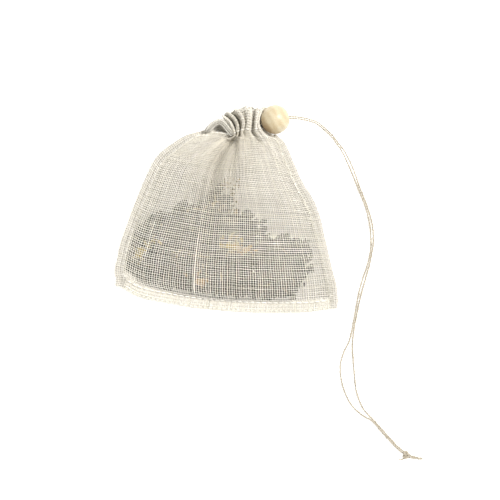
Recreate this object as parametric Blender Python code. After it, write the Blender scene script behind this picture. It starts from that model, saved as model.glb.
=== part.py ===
"""Drawstring herb sachet: a small open-weave gauze bag filled with dried herbs, lying flat,
its mouth drawn shut by a doubled linen cord that runs through a wooden bead to a knot.

Every separate piece of the real object is one closed solid: two cloth panels, three seam
flanges with their stitching, the gathered casing round the mouth, the drawstring in it, its
two free strands, the bead, the end knot with its tails, and the herbs inside.

Frame: origin on the table plane under the middle of the bag, +X along the bottom seam,
+Y towards the mouth, +Z up. Numbers in the design are millimetres.
"""

import math

import bmesh
import bpy
import numpy as np

MM = 0.001

# Driving dimensions
CLOTH = 0.6            # gauze, woven thickness
GAP = 0.3              # clearance kept between touching pieces
FLANGE_T = 1.2         # seam flange: four plies pressed flat
PANEL_EDGE_Z = 0.92    # underside of the front panel where it meets the seams
FILL_H = 13.9          # height of the bulge over the herbs, above the panel's edge
NECK_H = 9.6           # height of the front panel at the neck
CASING_T = 2.5         # gathered casing, thickness of the folded hem
CASING_W = 7.5         # casing, from its stitching to the mouth's edge
FLUTE = 0.3            # depth of the gathers in it
CHANNEL_T = 1.3        # channel for the drawstring
CHANNEL_W = 6.3
THREAD_D = 0.4         # sewing thread
CORD_D = 0.6           # one strand of the drawstring
PAIR = 0.9             # centre distance of the two strands
BEAD_D = 12.0
BEAD_BORE = 3.6
BEAD_Z = 6.1
ARC_C = (20.29, 15.97)  # centre of the curve that the cord takes through the bead
ARC_R = 27.95
BEAD_ANGLE = 109.95     # where the bead sits on that curve, degrees
NECK_C = (-3.0, 37.3)   # middle of the casing
NECK_TILT = 26.6        # the casing runs up to the right by this angle
KNOT_C = (81.0, -89.0, 1.2)
KNOT_R = (1.75, 1.35, 1.1)

# Plan outline of the sewn chamber, on the stitch lines
LEFT = [(-42.6, -30.2), (-44.2, -26.8), (-43.9, -20.7), (-43.4, -16.3), (-42.2, -10.3),
        (-40.2, -1.8), (-37.6, 7.2), (-35.0, 16.0), (-33.3, 19.5), (-30.9, 22.6),
        (-27.4, 26.0), (-23.2, 29.4), (-18.02, 33.58)]
RIGHT = [(41.8, -28.8), (40.9, -24.0), (39.6, -19.5), (38.0, -15.2), (35.9, -9.3),
         (33.6, -3.6), (31.3, 2.2), (29.2, 6.6), (26.0, 11.4), (23.4, 15.0), (20.8, 19.0),
         (18.9, 22.4), (16.8, 26.3), (14.7, 30.2), (12.9, 33.2), (10.95, 35.8)]
BOTTOM = [(-42.6, -30.2), (-36.3, -33.3), (-25.2, -34.7), (-10.7, -35.4), (9.5, -34.6),
          (29.8, -32.2), (41.8, -28.8)]
# The neck line, in the casing's own directions: along it, and out of the mouth
NECK = [(-15.1, 3.4), (-15.0, -1.0), (-14.2, -4.2), (-9.0, -4.35), (0.0, -4.35),
        (7.4, -4.4), (10.1, -5.9), (11.8, -7.6)]
# Outer edges of the seam flanges
LEFT_OUT = [(-47.2, -29.6), (-47.8, -26.6), (-47.3, -20.7), (-46.9, -16.5), (-45.6, -10.1),
            (-43.5, -1.5), (-40.9, 8.4), (-38.6, 15.9), (-36.9, 20.2), (-34.2, 24.2),
            (-30.4, 28.2), (-26.0, 31.8), (-19.6, 34.9)]
RIGHT_OUT = [(45.3, -28.0), (44.4, -24.0), (43.1, -20.2), (41.4, -16.2), (38.9, -8.9),
             (36.7, -3.0), (34.5, 3.4), (32.5, 7.8), (29.3, 13.2), (26.6, 16.2), (24.0, 19.6),
             (21.9, 23.4), (19.6, 27.2), (17.5, 31.2), (15.6, 34.4), (13.2, 36.9)]
BOTTOM_OUT = [(-46.6, -33.6), (-37.2, -37.0), (-25.7, -38.3), (-11.0, -39.0), (9.8, -38.3),
              (30.3, -35.9), (45.9, -32.4)]
BOTTOM_IN = [(-46.9, -30.6), (-42.6, -30.65), (-36.3, -33.7), (-25.2, -35.1), (-10.7, -35.8),
             (9.5, -35.0), (29.8, -32.6), (41.8, -29.2), (45.3, -28.5)]

# Plan route of the drawstring beyond its arc, then of each strand to the knot
ROUTE = [(34.6, 38.3), (40.6, 32.4), (44.6, 25.9), (48.0, 19.4), (52.3, 11.5), (55.0, 4.9),
         (56.4, -1.4), (56.7, -6.7), (56.1, -13.1), (54.9, -19.6), (53.9, -26.8),
         (53.3, -36.9)]
STRAND_A = [(53.9, -46.9), (54.95, -53.1), (55.8, -58.4), (56.8, -64.1), (58.6, -68.7),
            (61.3, -72.4), (65.3, -75.9)]
STRAND_B = [(51.7, -45.6), (50.1, -50.0), (49.4, -55.4), (50.6, -61.6), (52.9, -67.2),
            (56.0, -71.3), (60.0, -74.5), (64.2, -77.0)]
ENDS = [(69.2, -79.5), (73.2, -83.0), (76.6, -85.8), (79.35, -87.85)]


# ---------------------------------------------------------------- materials
def material(name, colour, roughness, metallic=0.0):
    mat = bpy.data.materials.new(name)
    mat.use_nodes = True
    shader = mat.node_tree.nodes["Principled BSDF"]
    shader.inputs["Base Color"].default_value = (*colour, 1.0)
    shader.inputs["Roughness"].default_value = roughness
    shader.inputs["Metallic"].default_value = metallic
    mat.diffuse_color = (*colour, 1.0)
    return mat


def clear_scene():
    for obj in list(bpy.data.objects):
        bpy.data.objects.remove(obj, do_unlink=True)


# ---------------------------------------------------------------- curves
def spline(points, samples):
    """A smooth curve through the points, read off at equal steps along its length."""
    p = np.array(points, float)
    ends = np.vstack([2 * p[0] - p[1], p, 2 * p[-1] - p[-2]])
    fine = []
    for i in range(len(p) - 1):
        a, b, c, d = ends[i], ends[i + 1], ends[i + 2], ends[i + 3]
        for t in np.linspace(0, 1, 24, endpoint=False):
            fine.append(
                0.5 * (2 * b + (c - a) * t + (2 * a - 5 * b + 4 * c - d) * t**2
                       + (3 * b - a - 3 * c + d) * t**3)
            )
    fine.append(p[-1])
    fine = np.array(fine)
    along = np.concatenate([[0], np.cumsum(np.linalg.norm(np.diff(fine, axis=0), axis=1))])
    want = np.linspace(0, along[-1], samples)
    return np.stack([np.interp(want, along, fine[:, k]) for k in range(fine.shape[1])], 1)


def at(curve, share):
    """A point at a share of a curve that has equal steps."""
    x = np.clip(share, 0, 1) * (len(curve) - 1)
    i = int(min(math.floor(x), len(curve) - 2))
    return curve[i] + (x - i) * (curve[i + 1] - curve[i])


def smooth(x):
    x = min(max(x, 0.0), 1.0)
    return x * x * (3 - 2 * x)


def neck_point(along, out):
    c, s = math.cos(math.radians(NECK_TILT)), math.sin(math.radians(NECK_TILT))
    return np.array([NECK_C[0] + along * c - out * s, NECK_C[1] + along * s + out * c])


# ---------------------------------------------------------------- solids
def finish(name, bm, mat, origin=(0.0, 0.0, 0.0), flat=False):
    """Turns a bmesh in millimetres into a named object in metres, its origin where asked."""
    bmesh.ops.recalc_face_normals(bm, faces=bm.faces)
    for v in bm.verts:
        v.co = [(v.co[k] - origin[k]) * MM for k in range(3)]
    mesh = bpy.data.meshes.new(name)
    bm.to_mesh(mesh)
    bm.free()
    if not flat:
        mesh.shade_smooth()
        mesh.set_sharp_from_angle(angle=math.radians(40))
    mesh.materials.append(mat)
    obj = bpy.data.objects.new(name, mesh)
    obj.location = [c * MM for c in origin]
    bpy.context.scene.collection.objects.link(obj)
    return obj


def sheet_solid(name, top, bottom, mat):
    """Closes two matching grids of points, [row][column], into one shell."""
    bm = bmesh.new()
    rows, cols = len(top), len(top[0])
    up = [[bm.verts.new(p) for p in row] for row in top]
    dn = [[bm.verts.new(p) for p in row] for row in bottom]
    for i in range(rows - 1):
        for j in range(cols - 1):
            bm.faces.new((up[i][j], up[i][j + 1], up[i + 1][j + 1], up[i + 1][j]))
            bm.faces.new((dn[i][j], dn[i + 1][j], dn[i + 1][j + 1], dn[i][j + 1]))
    rim = [(0, j) for j in range(cols)] + [(i, cols - 1) for i in range(1, rows)]
    rim += [(rows - 1, j) for j in range(cols - 2, -1, -1)]
    rim += [(i, 0) for i in range(rows - 2, 0, -1)]
    for k, (i, j) in enumerate(rim):
        m, n = rim[(k + 1) % len(rim)]
        bm.faces.new((up[i][j], dn[i][j], dn[m][n], up[m][n]))
    return finish(name, bm, mat)


def plate(name, outline, z0, z1, mat):
    """A flat piece: the outline filled at z0 and extruded up to z1."""
    bm = bmesh.new()
    face = bm.faces.new([bm.verts.new((p[0], p[1], z0)) for p in outline])
    made = bmesh.ops.extrude_face_region(bm, geom=[face])
    for v in (g for g in made["geom"] if isinstance(g, bmesh.types.BMVert)):
        v.co.z = z1
    return finish(name, bm, mat)


def strip(name, inner, outer, z0, z1, mat):
    """A seam flange between two matching plan curves."""
    top = [[(*p, z1) for p in inner], [(*p, z1) for p in outer]]
    bottom = [[(*p, z0) for p in inner], [(*p, z0) for p in outer]]
    return sheet_solid(name, top, bottom, mat)


def tube(name, points, diameter, mat, resolution=2):
    """A cord or thread: a round bevel along a poly line of points, ends filled."""
    data = bpy.data.curves.new(name, "CURVE")
    data.dimensions = "3D"
    line = data.splines.new("POLY")
    line.points.add(len(points) - 1)
    for k, p in enumerate(points):
        line.points[k].co = (p[0] * MM, p[1] * MM, p[2] * MM, 1.0)
    data.bevel_depth = diameter / 2 * MM
    data.bevel_resolution = resolution
    data.use_fill_caps = True
    data.materials.append(mat)
    obj = bpy.data.objects.new(name, data)
    bpy.context.scene.collection.objects.link(obj)
    return obj


# ---------------------------------------------------------------- bag shape
SIDE_L = spline(LEFT, 61)
SIDE_R = spline(RIGHT, 61)
EDGE_B = spline(BOTTOM, 61)
EDGE_T = spline([tuple(neck_point(*p)) for p in NECK], 61)


def plan(u, v):
    """Point of the chamber: u runs from the left seam to the right, v from bottom to neck."""
    left, right, low, high = at(SIDE_L, v), at(SIDE_R, v), at(EDGE_B, u), at(EDGE_T, u)
    corners = ((1 - u) * (1 - v) * EDGE_B[0] + u * (1 - v) * EDGE_B[-1]
               + (1 - u) * v * EDGE_T[0] + u * v * EDGE_T[-1])
    return (1 - u) * left + u * right + (1 - v) * low + v * high - corners


RISE = spline([(0, 0), (0.06, 0.33), (0.14, 0.68), (0.30, 1.0), (0.46, 0.97), (0.62, 0.80),
               (0.8, 0.70), (1.0, NECK_H / FILL_H)], 121)


def height(u, v):
    """Top of the front panel over the table."""
    across = (1 - abs(2 * u - 1) ** 2.4) ** 0.8
    return PANEL_EDGE_Z + CLOTH + FILL_H * float(np.interp(v, RISE[:, 0], RISE[:, 1])) * across


def spot(u, v, below):
    """A point in the bag at a depth below the front panel's top."""
    p = plan(u, v)
    return (p[0], p[1], height(u, v) - below)


def panels(mat):
    # Cells crowd towards the seams, where the cloth turns down
    us = [0.5 - 0.5 * math.cos(math.pi * (0.12 + 0.76 * i / 24)) for i in range(25)]
    us = [(x - us[0]) / (us[-1] - us[0]) for x in us]
    vs = [(j / 22) ** 1.25 for j in range(23)]
    sheet_solid("bag_front_panel", [[spot(u, v, 0) for u in us] for v in vs],
                [[spot(u, v, CLOTH) for u in us] for v in vs], mat)
    outline = [at(EDGE_B, t) for t in np.linspace(0, 1, 17)]
    outline += [at(SIDE_R, t) for t in np.linspace(0, 1, 17)[1:]]
    outline += [at(EDGE_T, t) for t in np.linspace(1, 0, 17)[1:]]
    outline += [at(SIDE_L, t) for t in np.linspace(1, 0, 17)[1:-1]]
    plate("bag_back_panel", outline, 0.0, CLOTH, mat)


def seams(cloth, thread):
    def pair(inner, outer, count, keep=GAP):
        """Inner edge of a flange, held off the stitch line, and its outer edge."""
        a, b = spline(inner, count), spline(outer, count)
        lead = (b - a) / np.linalg.norm(b - a, axis=1)[:, None]
        return a + keep * lead, b

    left_in, left_out = pair(LEFT, LEFT_OUT, 33)
    right_in, right_out = pair(RIGHT, RIGHT_OUT, 33)
    low_in, low_out = spline(BOTTOM_IN, 33), spline(BOTTOM_OUT, 33)
    strip("side_seam_left", left_in, left_out, 0.0, FLANGE_T, cloth)
    strip("side_seam_right", right_in, right_out, 0.0, FLANGE_T, cloth)
    strip("bottom_seam", low_in, low_out, 0.0, FLANGE_T, cloth)
    z = FLANGE_T + GAP + THREAD_D / 2
    for name, inner, outer in (("stitching_left", left_in, left_out),
                               ("stitching_right", right_in, right_out),
                               ("stitching_bottom", low_in, low_out)):
        line = (inner + 0.22 * (outer - inner))[1:-1]
        tube(name, [(*p, z) for p in line], THREAD_D, thread, 1)


def casing(cloth, thread, cord):
    """The hem folded over the drawstring and gathered: a fluted channel bent to a flat ring,
    open on the right, where both ends of the drawstring come out."""
    path = spline([(6.0, 7.9), (4.2, 9.1), (0.0, 9.8), (-4.0, 9.8), (-8.6, 9.3), (-11.2, 7.6),
                   (-11.9, 5.65), (-11.2, 3.7), (-8.6, 2.0), (-4.0, 1.6), (0.0, 1.6),
                   (4.2, 2.3), (6.0, 4.1)], 56)
    step = np.gradient(path, axis=0)
    step /= np.linalg.norm(step, axis=1)[:, None]
    out = np.stack([step[:, 1], -step[:, 0]], 1)  # away from the middle of the ring
    length = np.concatenate([[0], np.cumsum(np.linalg.norm(np.diff(path, axis=0), axis=1))])

    def place(at_path, off, across):
        xy = neck_point(at_path[0] + off[0], across)
        return (xy[0], xy[1], at_path[1] + off[1])

    bm = bmesh.new()
    rings = []
    for k, (p, n) in enumerate(zip(path, out)):
        flute = FLUTE * math.sin(2 * math.pi * length[k] / 4.2)
        t, w = CASING_T / 2 + flute, CASING_W / 2
        c, d = CHANNEL_T / 2, CHANNEL_W / 2
        outer = [(t, w), (t, -w), (-t, -w), (-t, w)]
        inner = [(c, d), (c, -d), (-c, -d), (-c, d)]
        rings.append([[bm.verts.new(place(p, n * a, b)) for a, b in loop]
                      for loop in (outer, inner)])
    for a, b in zip(rings, rings[1:]):
        for loop in (0, 1):
            for i in range(4):
                j = (i + 1) % 4
                bm.faces.new((a[loop][i], a[loop][j], b[loop][j], b[loop][i]))
    for end in (rings[0], rings[-1]):
        for i in range(4):
            j = (i + 1) % 4
            bm.faces.new((end[0][i], end[0][j], end[1][j], end[1][i]))
    finish("mouth_casing", bm, cloth)

    front = [place(p, n * (CASING_T / 2 + FLUTE + GAP + THREAD_D / 2), -3.1)
             for p, n in list(zip(path, out))[3:25]]
    tube("stitching_casing", front, THREAD_D, thread, 1)

    # The drawstring in its channel, with both ends turned out to the bead
    tip = arc_point(-(BEAD_D / 2 + 0.5 + GAP))
    ends = [(tip[0], tip[1], BEAD_Z + PAIR / 2), (tip[0], tip[1], BEAD_Z - PAIR / 2)]
    ring = [place(p, (0, 0), -1.75) for p in path[::2]] + [place(path[-1], (0, 0), -1.75)]
    tube("drawstring_in_casing", spline([ends[0]] + ring + [ends[1]], 56), CORD_D, cord, 1)


# ---------------------------------------------------------------- cord and bead
def arc_point(s):
    """Plan point on the cord's arc, s millimetres past the bead's middle."""
    a = math.radians(BEAD_ANGLE) - s / ARC_R
    return np.array([ARC_C[0] + ARC_R * math.cos(a), ARC_C[1] + ARC_R * math.sin(a)])


def cord_height(s):
    """The pair runs level through the bead, then settles onto the table."""
    low = CORD_D / 2 + 0.06
    level = BEAD_Z - 0.55 * smooth((s - 6) / 18)
    return level + (low - level) * smooth((s - 20) / 34)


def strands(cord):
    start = -(BEAD_D / 2 + 0.5)
    centre = [arc_point(s) for s in np.linspace(start, 20.5, 10)] + [np.array(p) for p in ROUTE]
    tails = [np.array(p) for p in ENDS]
    for name, side, own in (("drawstring_strand_a", 1, STRAND_A),
                            ("drawstring_strand_b", -1, STRAND_B)):
        flat = []
        for group in (centre, tails):
            for i, p in enumerate(group):
                a, b = group[max(i - 1, 0)], group[min(i + 1, len(group) - 1)]
                d = (b - a) / np.linalg.norm(b - a)
                # the pair starts one over the other and lies side by side after the bead
                turn = math.radians(90) * (1 - smooth((i - 0.5) / 4)) if group is centre else 0
                flat.append((p + side * PAIR / 2 * math.cos(turn) * np.array([-d[1], d[0]]),
                             side * PAIR / 2 * math.sin(turn)))
            if group is centre:
                flat += [(np.array(p), 0.0) for p in own]
        s, points = start, []
        for i, (p, lift) in enumerate(flat):
            if i:
                s += float(np.linalg.norm(p - flat[i - 1][0]))
            points.append((p[0], p[1], cord_height(s) + lift))
        tube(name, spline(points, 76), CORD_D, cord)


def bead(wood):
    """Turned ball with a straight bore and eased edges, its origin on the slide's axis."""
    r, b, ease = BEAD_D / 2, BEAD_BORE / 2, 0.35
    edge = math.asin((b + ease) / r)
    profile = [(r * math.sin(t), r * math.cos(t)) for t in np.linspace(edge, math.pi - edge, 17)]
    lip = r * math.cos(edge) - 0.2
    profile += [(b, -lip), (b, lip)]
    middle = arc_point(0)
    tangent = arc_point(0.5) - arc_point(-0.5)
    tangent /= np.linalg.norm(tangent)
    side = np.array([-tangent[1], tangent[0]])
    bm = bmesh.new()
    rings = []
    for k in range(28):
        a = 2 * math.pi * (k + 0.5) / 28
        rings.append([bm.verts.new((middle[0] + h * tangent[0] + q * math.cos(a) * side[0],
                                    middle[1] + h * tangent[1] + q * math.cos(a) * side[1],
                                    BEAD_Z + q * math.sin(a))) for q, h in profile])
    for k in range(28):
        a, b2 = rings[k], rings[(k + 1) % 28]
        for i in range(len(profile)):
            j = (i + 1) % len(profile)
            bm.faces.new((a[i], a[j], b2[j], b2[i]))
    return finish("bead", bm, wood, origin=(ARC_C[0], ARC_C[1], 0.0))


def lump(name, centre, radii, mat, bumps=0.08, heading=0.0):
    """A small uneven ball."""
    bm = bmesh.new()
    bmesh.ops.create_icosphere(bm, subdivisions=2, radius=1.0)
    c, s = math.cos(heading), math.sin(heading)
    for v in bm.verts:
        x, y, z = v.co
        k = 1 + bumps * math.sin(5 * x + 1) * math.cos(4 * y - 2 * z)
        x, y, z = x * k * radii[0], y * k * radii[1], z * radii[2]
        v.co = (centre[0] + c * x - s * y, centre[1] + s * x + c * y, centre[2] + z)
    return finish(name, bm, mat)


def knot(cord):
    heading = math.radians(-40)
    lump("end_knot", KNOT_C, KNOT_R, cord, 0.08, heading)
    x, y, _ = KNOT_C
    z = CORD_D / 2 + 0.06
    tube("cord_tail_a", spline([(x + 1.9, y - 0.75, z + 0.25), (x + 3.4, y - 0.95, z),
                                (x + 5.2, y - 0.6, z), (x + 6.9, y - 0.75, z)], 6),
         CORD_D, cord, 1)
    tube("cord_tail_b", spline([(x - 1.0, y - 1.75, z + 0.1), (x - 1.7, y - 2.2, z),
                                (x - 2.5, y - 2.4, z)], 4), CORD_D, cord, 1)


# ---------------------------------------------------------------- herbs
def patch(name, u0, v0, ru, rv, low, high, mat, rings=4, spokes=14, square=2.6, turn=0.0):
    """A closed rounded piece over an oval of the bag's plan. low and high give its underside
    and its top at (u, v), and the piece thins to its rim."""
    bm = bmesh.new()

    def where(r, a):
        x = math.copysign(abs(math.cos(a)) ** (2 / square), math.cos(a)) * r
        y = math.copysign(abs(math.sin(a)) ** (2 / square), math.sin(a)) * r
        c, s = math.cos(turn), math.sin(turn)
        return u0 + ru * (c * x - s * y), v0 + rv * (s * x + c * y)

    def point(r, a, upper):
        u, v = where(r, a)
        xy, lo, hi = plan(u, v), low(u, v), high(u, v)
        rim = lo + 0.35 * (hi - lo)
        full = math.sqrt(max(0.0, 1 - r**3))
        return (*xy, rim + (hi - rim) * full if upper else rim + (lo - rim) * full)

    radii = [math.sin(math.pi / 2 * k / rings) for k in range(1, rings + 1)]
    angles = [2 * math.pi * (k + 0.25) / spokes for k in range(spokes)]
    top = bm.verts.new(point(0, 0, True))
    bottom = bm.verts.new(point(0, 0, False))
    up = [[bm.verts.new(point(r, a, True)) for a in angles] for r in radii]
    dn = [[bm.verts.new(point(r, a, False)) for a in angles] for r in radii[:-1]] + [up[-1]]
    for grid, tip in ((up, top), (dn, bottom)):
        for k in range(spokes):
            m = (k + 1) % spokes
            bm.faces.new((tip, grid[0][k], grid[0][m]))
            for i in range(rings - 1):
                bm.faces.new((grid[i][k], grid[i + 1][k], grid[i + 1][m], grid[i][m]))
    return finish(name, bm, mat)


def herbs(leaf, yellow, orange, stalk):
    floor = CLOTH + GAP + 0.05
    headroom = CLOTH + 1.6   # the loose pieces on top of the heap lie in this layer

    def base(u, v):
        return floor

    def heap(u, v):
        return max(height(u, v) - headroom, floor + 0.8)

    for name, u0, v0, ru, rv in (("leaf_heap_left", 0.195, 0.235, 0.130, 0.180),
                                 ("leaf_heap_middle", 0.465, 0.255, 0.130, 0.205),
                                 ("leaf_heap_right", 0.735, 0.220, 0.130, 0.170),
                                 ("leaf_heap_top", 0.430, 0.545, 0.100, 0.075)):
        patch(name, u0, v0, ru, rv, base, heap, leaf, 4, 18, 4.0)

    def under(u, v):
        return height(u, v) - CLOTH - 1.15

    def over(u, v):
        return height(u, v) - CLOTH - 0.45

    for name, u0, v0, ru, rv, turn, mat in (
        ("petal_yellow_left", 0.115, 0.205, 0.026, 0.022, 0.4, yellow),
        ("petal_yellow_upper", 0.185, 0.330, 0.022, 0.030, 0.2, yellow),
        ("petal_yellow_middle", 0.480, 0.370, 0.030, 0.030, 0.7, yellow),
        ("petal_orange_middle", 0.560, 0.325, 0.026, 0.020, 0.1, orange),
        ("petal_orange_low", 0.360, 0.115, 0.030, 0.026, 0.5, orange),
        ("leaf_flake_left", 0.245, 0.190, 0.042, 0.026, 0.6, leaf),
        ("leaf_flake_middle", 0.440, 0.215, 0.046, 0.030, 2.4, leaf),
        ("leaf_flake_right", 0.700, 0.190, 0.040, 0.034, 0.3, leaf),
    ):
        patch(name, u0, v0, ru, rv, under, over, mat, 3, 10, 2.0, turn)

    for name, route in (("stalk_left", [(0.155, 0.250), (0.215, 0.270), (0.290, 0.285)]),
                        ("stalk_right", [(0.640, 0.290), (0.715, 0.305), (0.790, 0.280)])):
        line = [spot(*p, CLOTH + 0.8) for p in spline(route, 9)]
        tube(name, line, 0.8, stalk, 1)


def main():
    clear_scene()
    gauze = material("gauze", (0.80, 0.765, 0.68), 0.9)
    thread = material("sewing_thread", (0.86, 0.83, 0.76), 0.8)
    linen = material("linen_cord", (0.72, 0.63, 0.50), 0.85)
    beech = material("bead_wood", (0.86, 0.72, 0.47), 0.5)
    leaf = material("dried_leaf", (0.22, 0.23, 0.17), 0.9)
    yellow = material("yellow_petal", (0.78, 0.58, 0.16), 0.8)
    orange = material("orange_petal", (0.76, 0.42, 0.18), 0.8)
    stalk = material("dried_stalk", (0.50, 0.44, 0.28), 0.85)
    panels(gauze)
    seams(gauze, thread)
    casing(gauze, thread, linen)
    strands(linen)
    bead(beech)
    knot(linen)
    herbs(leaf, yellow, orange, stalk)


main()
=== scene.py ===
"""Looks for the drawstring herb sachet: open gauze as real woven threads over a draped bag,
a pleated mouth, crushed herbs showing through the holes, a turned wooden bead, and a
two-ply linen drawstring with its end knot. Lengths in the making are millimetres."""

import math

import bmesh
import bpy
import numpy as np
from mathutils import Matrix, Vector
from mathutils.bvhtree import BVHTree


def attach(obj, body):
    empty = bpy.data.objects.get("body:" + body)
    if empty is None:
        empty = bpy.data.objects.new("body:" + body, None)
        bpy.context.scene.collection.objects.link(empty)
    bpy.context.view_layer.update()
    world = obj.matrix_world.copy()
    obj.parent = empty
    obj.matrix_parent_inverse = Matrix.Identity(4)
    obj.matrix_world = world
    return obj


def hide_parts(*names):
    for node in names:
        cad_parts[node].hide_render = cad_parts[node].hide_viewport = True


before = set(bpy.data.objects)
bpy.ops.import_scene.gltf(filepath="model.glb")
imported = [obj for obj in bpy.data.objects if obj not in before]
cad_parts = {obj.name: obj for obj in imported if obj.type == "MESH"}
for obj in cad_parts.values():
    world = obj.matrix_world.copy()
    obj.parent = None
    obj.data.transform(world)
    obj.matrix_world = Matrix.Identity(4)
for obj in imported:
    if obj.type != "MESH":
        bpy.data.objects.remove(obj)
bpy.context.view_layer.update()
RNG = np.random.default_rng(20)
MM = 0.001

# ------------------------------------------------------------------ design, as in the CAD
CLOTH_T = 0.6
PANEL_EDGE_Z = 0.92
FILL_H = 13.9
CORD_D = 0.6
PAIR = 0.9    # in the bead; the strands lie a little closer beyond it
BEAD_D = 12.0
BEAD_BORE = 3.6
BEAD_Z = 6.1
ARC_C = (20.29, 15.97)
ARC_R = 27.95
BEAD_ANGLE = 109.95
KNOT_C = (81.0, -89.0, 1.2)
FLAT_W, FLAT_H, HEM_H, FLANGE = 84.5, 80.0, 8.0, 3.8
NU, NV, NH, NF = 88, 84, 9, 4  # threads across, up, in the hem, in a flange

LEFT = [(-42.6, -30.2), (-44.2, -26.8), (-43.9, -20.7), (-43.4, -16.3), (-42.2, -10.3),
        (-40.2, -1.8), (-37.6, 7.2), (-35.0, 16.0), (-33.3, 19.5), (-30.9, 22.6),
        (-27.4, 26.0), (-23.2, 29.9), (-17.5, 33.5)]
RIGHT = [(41.8, -28.8), (40.9, -24.0), (39.6, -19.5), (38.0, -15.2), (35.9, -9.3),
         (33.6, -3.6), (31.3, 2.2), (29.2, 6.6), (26.0, 11.4), (23.4, 15.0), (20.8, 19.0),
         (18.9, 22.4), (16.8, 26.3), (14.7, 30.2), (12.9, 33.2), (10.6, 35.6)]
BOTTOM = [(-42.6, -30.2), (-36.3, -32.5), (-25.2, -33.6), (-10.7, -34.1), (9.5, -33.3),
          (29.8, -31.1), (41.8, -28.8)]
LEFT_OUT = [(-47.0, -30.6), (-47.8, -26.6), (-47.3, -20.7), (-46.9, -16.5), (-45.6, -10.1),
            (-43.5, -1.5), (-40.9, 8.4), (-38.6, 15.9), (-36.9, 20.2), (-34.2, 24.2),
            (-30.0, 28.0), (-25.0, 31.8), (-17.8, 34.6)]
RIGHT_OUT = [(45.4, -29.2), (44.4, -24.0), (43.1, -20.2), (41.4, -16.2), (38.9, -8.9),
             (36.7, -3.0), (34.5, 3.4), (32.5, 7.8), (29.3, 13.2), (26.6, 16.2), (24.0, 19.6),
             (21.9, 23.4), (19.6, 27.2), (17.3, 31.2), (15.0, 34.2), (11.6, 36.4)]
BOTTOM_OUT = [(-43.6, -34.0), (-37.0, -36.8), (-25.7, -38.0), (-11.0, -38.6), (9.8, -37.8),
              (30.3, -35.5), (42.6, -32.6)]

# Columns of the gathered mouth: the cinch line (base), a middle and the mouth's edge (tip).
# A crest and a valley take turns, as pleats do.
FRONT_PLEATS = [
    ((-17.5, 33.5, 1.3), (-17.1, 34.4, 1.7), (-16.7, 35.0, 2.2)),
    ((-14.4, 33.8, 3.6), (-14.2, 34.3, 2.9), (-13.6, 34.6, 1.6)),
    ((-11.2, 33.9, 4.6), (-11.1, 34.4, 3.8), (-11.0, 34.7, 1.8)),
    ((-8.4, 33.8, 4.8), (-8.4, 34.4, 4.0), (-8.5, 34.9, 2.2)),
    ((-6.1, 33.3, 3.6), (-6.6, 34.4, 3.0), (-7.2, 35.6, 2.6)),
    ((-4.9, 33.6, 7.0), (-7.0, 38.2, 8.0), (-10.8, 40.9, 6.6)),
    ((-4.4, 34.0, 4.2), (-6.0, 38.9, 3.2), (-10.0, 41.6, 3.0)),
    ((-3.8, 34.4, 7.6), (-4.9, 39.4, 8.6), (-9.0, 42.9, 7.4)),
    ((-3.2, 34.7, 3.8), (-3.9, 39.9, 3.0), (-7.2, 42.6, 3.0)),
    ((-2.4, 35.0, 8.6), (-2.4, 40.3, 9.6), (-6.0, 44.2, 8.4)),
    ((-1.6, 35.3, 7.6), (-1.4, 40.6, 7.8), (-4.0, 44.6, 6.8)),
    ((-0.5, 35.6, 9.2), (-0.3, 40.8, 10.0), (-1.8, 46.0, 9.0)),
    ((0.5, 35.8, 8.8), (0.6, 40.6, 9.5), (-0.2, 46.0, 8.7)),
    ((1.4, 36.1, 5.2), (1.4, 40.5, 5.6), (0.9, 44.9, 5.6)),
    ((2.2, 36.3, 5.4), (2.2, 40.5, 5.8), (1.9, 45.0, 5.9)),
    ((3.2, 36.5, 8.4), (3.0, 40.6, 8.9), (2.9, 45.9, 8.4)),
    ((4.2, 36.8, 7.1), (3.5, 40.8, 7.3), (4.1, 45.4, 6.8)),
    ((5.3, 37.0, 7.6), (4.0, 41.0, 7.9), (5.3, 46.5, 7.3)),
    ((6.8, 37.1, 4.8), (4.4, 40.7, 4.9), (6.1, 46.7, 4.9)),
    ((8.9, 36.7, 3.4), (4.7, 40.6, 3.4), (6.4, 46.6, 3.5)),
    ((10.6, 35.6, 1.3), (4.9, 40.5, 2.0), (6.5, 46.4, 2.6)),
]
BACK_PLEATS = [
    ((-4.8, 34.5, 0.6), (-6.9, 37.9, 1.4), (-10.0, 41.9, 2.8)),
    ((-3.8, 34.7, 3.2), (-5.4, 38.2, 2.8), (-8.2, 42.4, 4.4)),
    ((-2.6, 35.0, 0.6), (-3.9, 39.2, 0.9), (-6.9, 43.7, 2.4)),
    ((-1.6, 35.3, 3.2), (-2.2, 39.6, 3.0), (-4.9, 44.6, 4.8)),
    ((-0.4, 35.6, 0.6), (-1.3, 40.2, 0.9), (-2.6, 45.8, 2.2)),
    ((0.7, 35.9, 3.2), (-0.2, 40.4, 2.4), (-1.1, 45.6, 4.4)),
    ((2.0, 36.2, 0.6), (1.3, 40.8, 0.7), (0.8, 46.3, 2.0)),
    ((3.2, 36.5, 3.2), (2.4, 40.8, 3.0), (2.6, 45.4, 4.6)),
    ((4.8, 37.0, 0.6), (3.6, 41.0, 1.0), (4.8, 46.2, 2.2)),
    ((8.0, 36.8, 1.2), (4.5, 40.7, 1.5), (6.0, 46.5, 2.4)),
    ((10.6, 35.6, 1.2), (4.9, 40.5, 1.9), (6.5, 46.4, 2.5)),
]
# Where the mouth gapes at the left, the back hem stands up in an arch and curls over: the
# middle of its curled rim on the plan, and the bottom of the gap under it.
LIP = [(-16.1, 35.2), (-14.8, 36.9), (-13.4, 38.1), (-11.7, 38.8), (-10.1, 38.1), (-8.8, 37.0),
       (-7.3, 35.6), (-5.9, 34.4)]
GAPE = (-10.6, 33.9)


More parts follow.
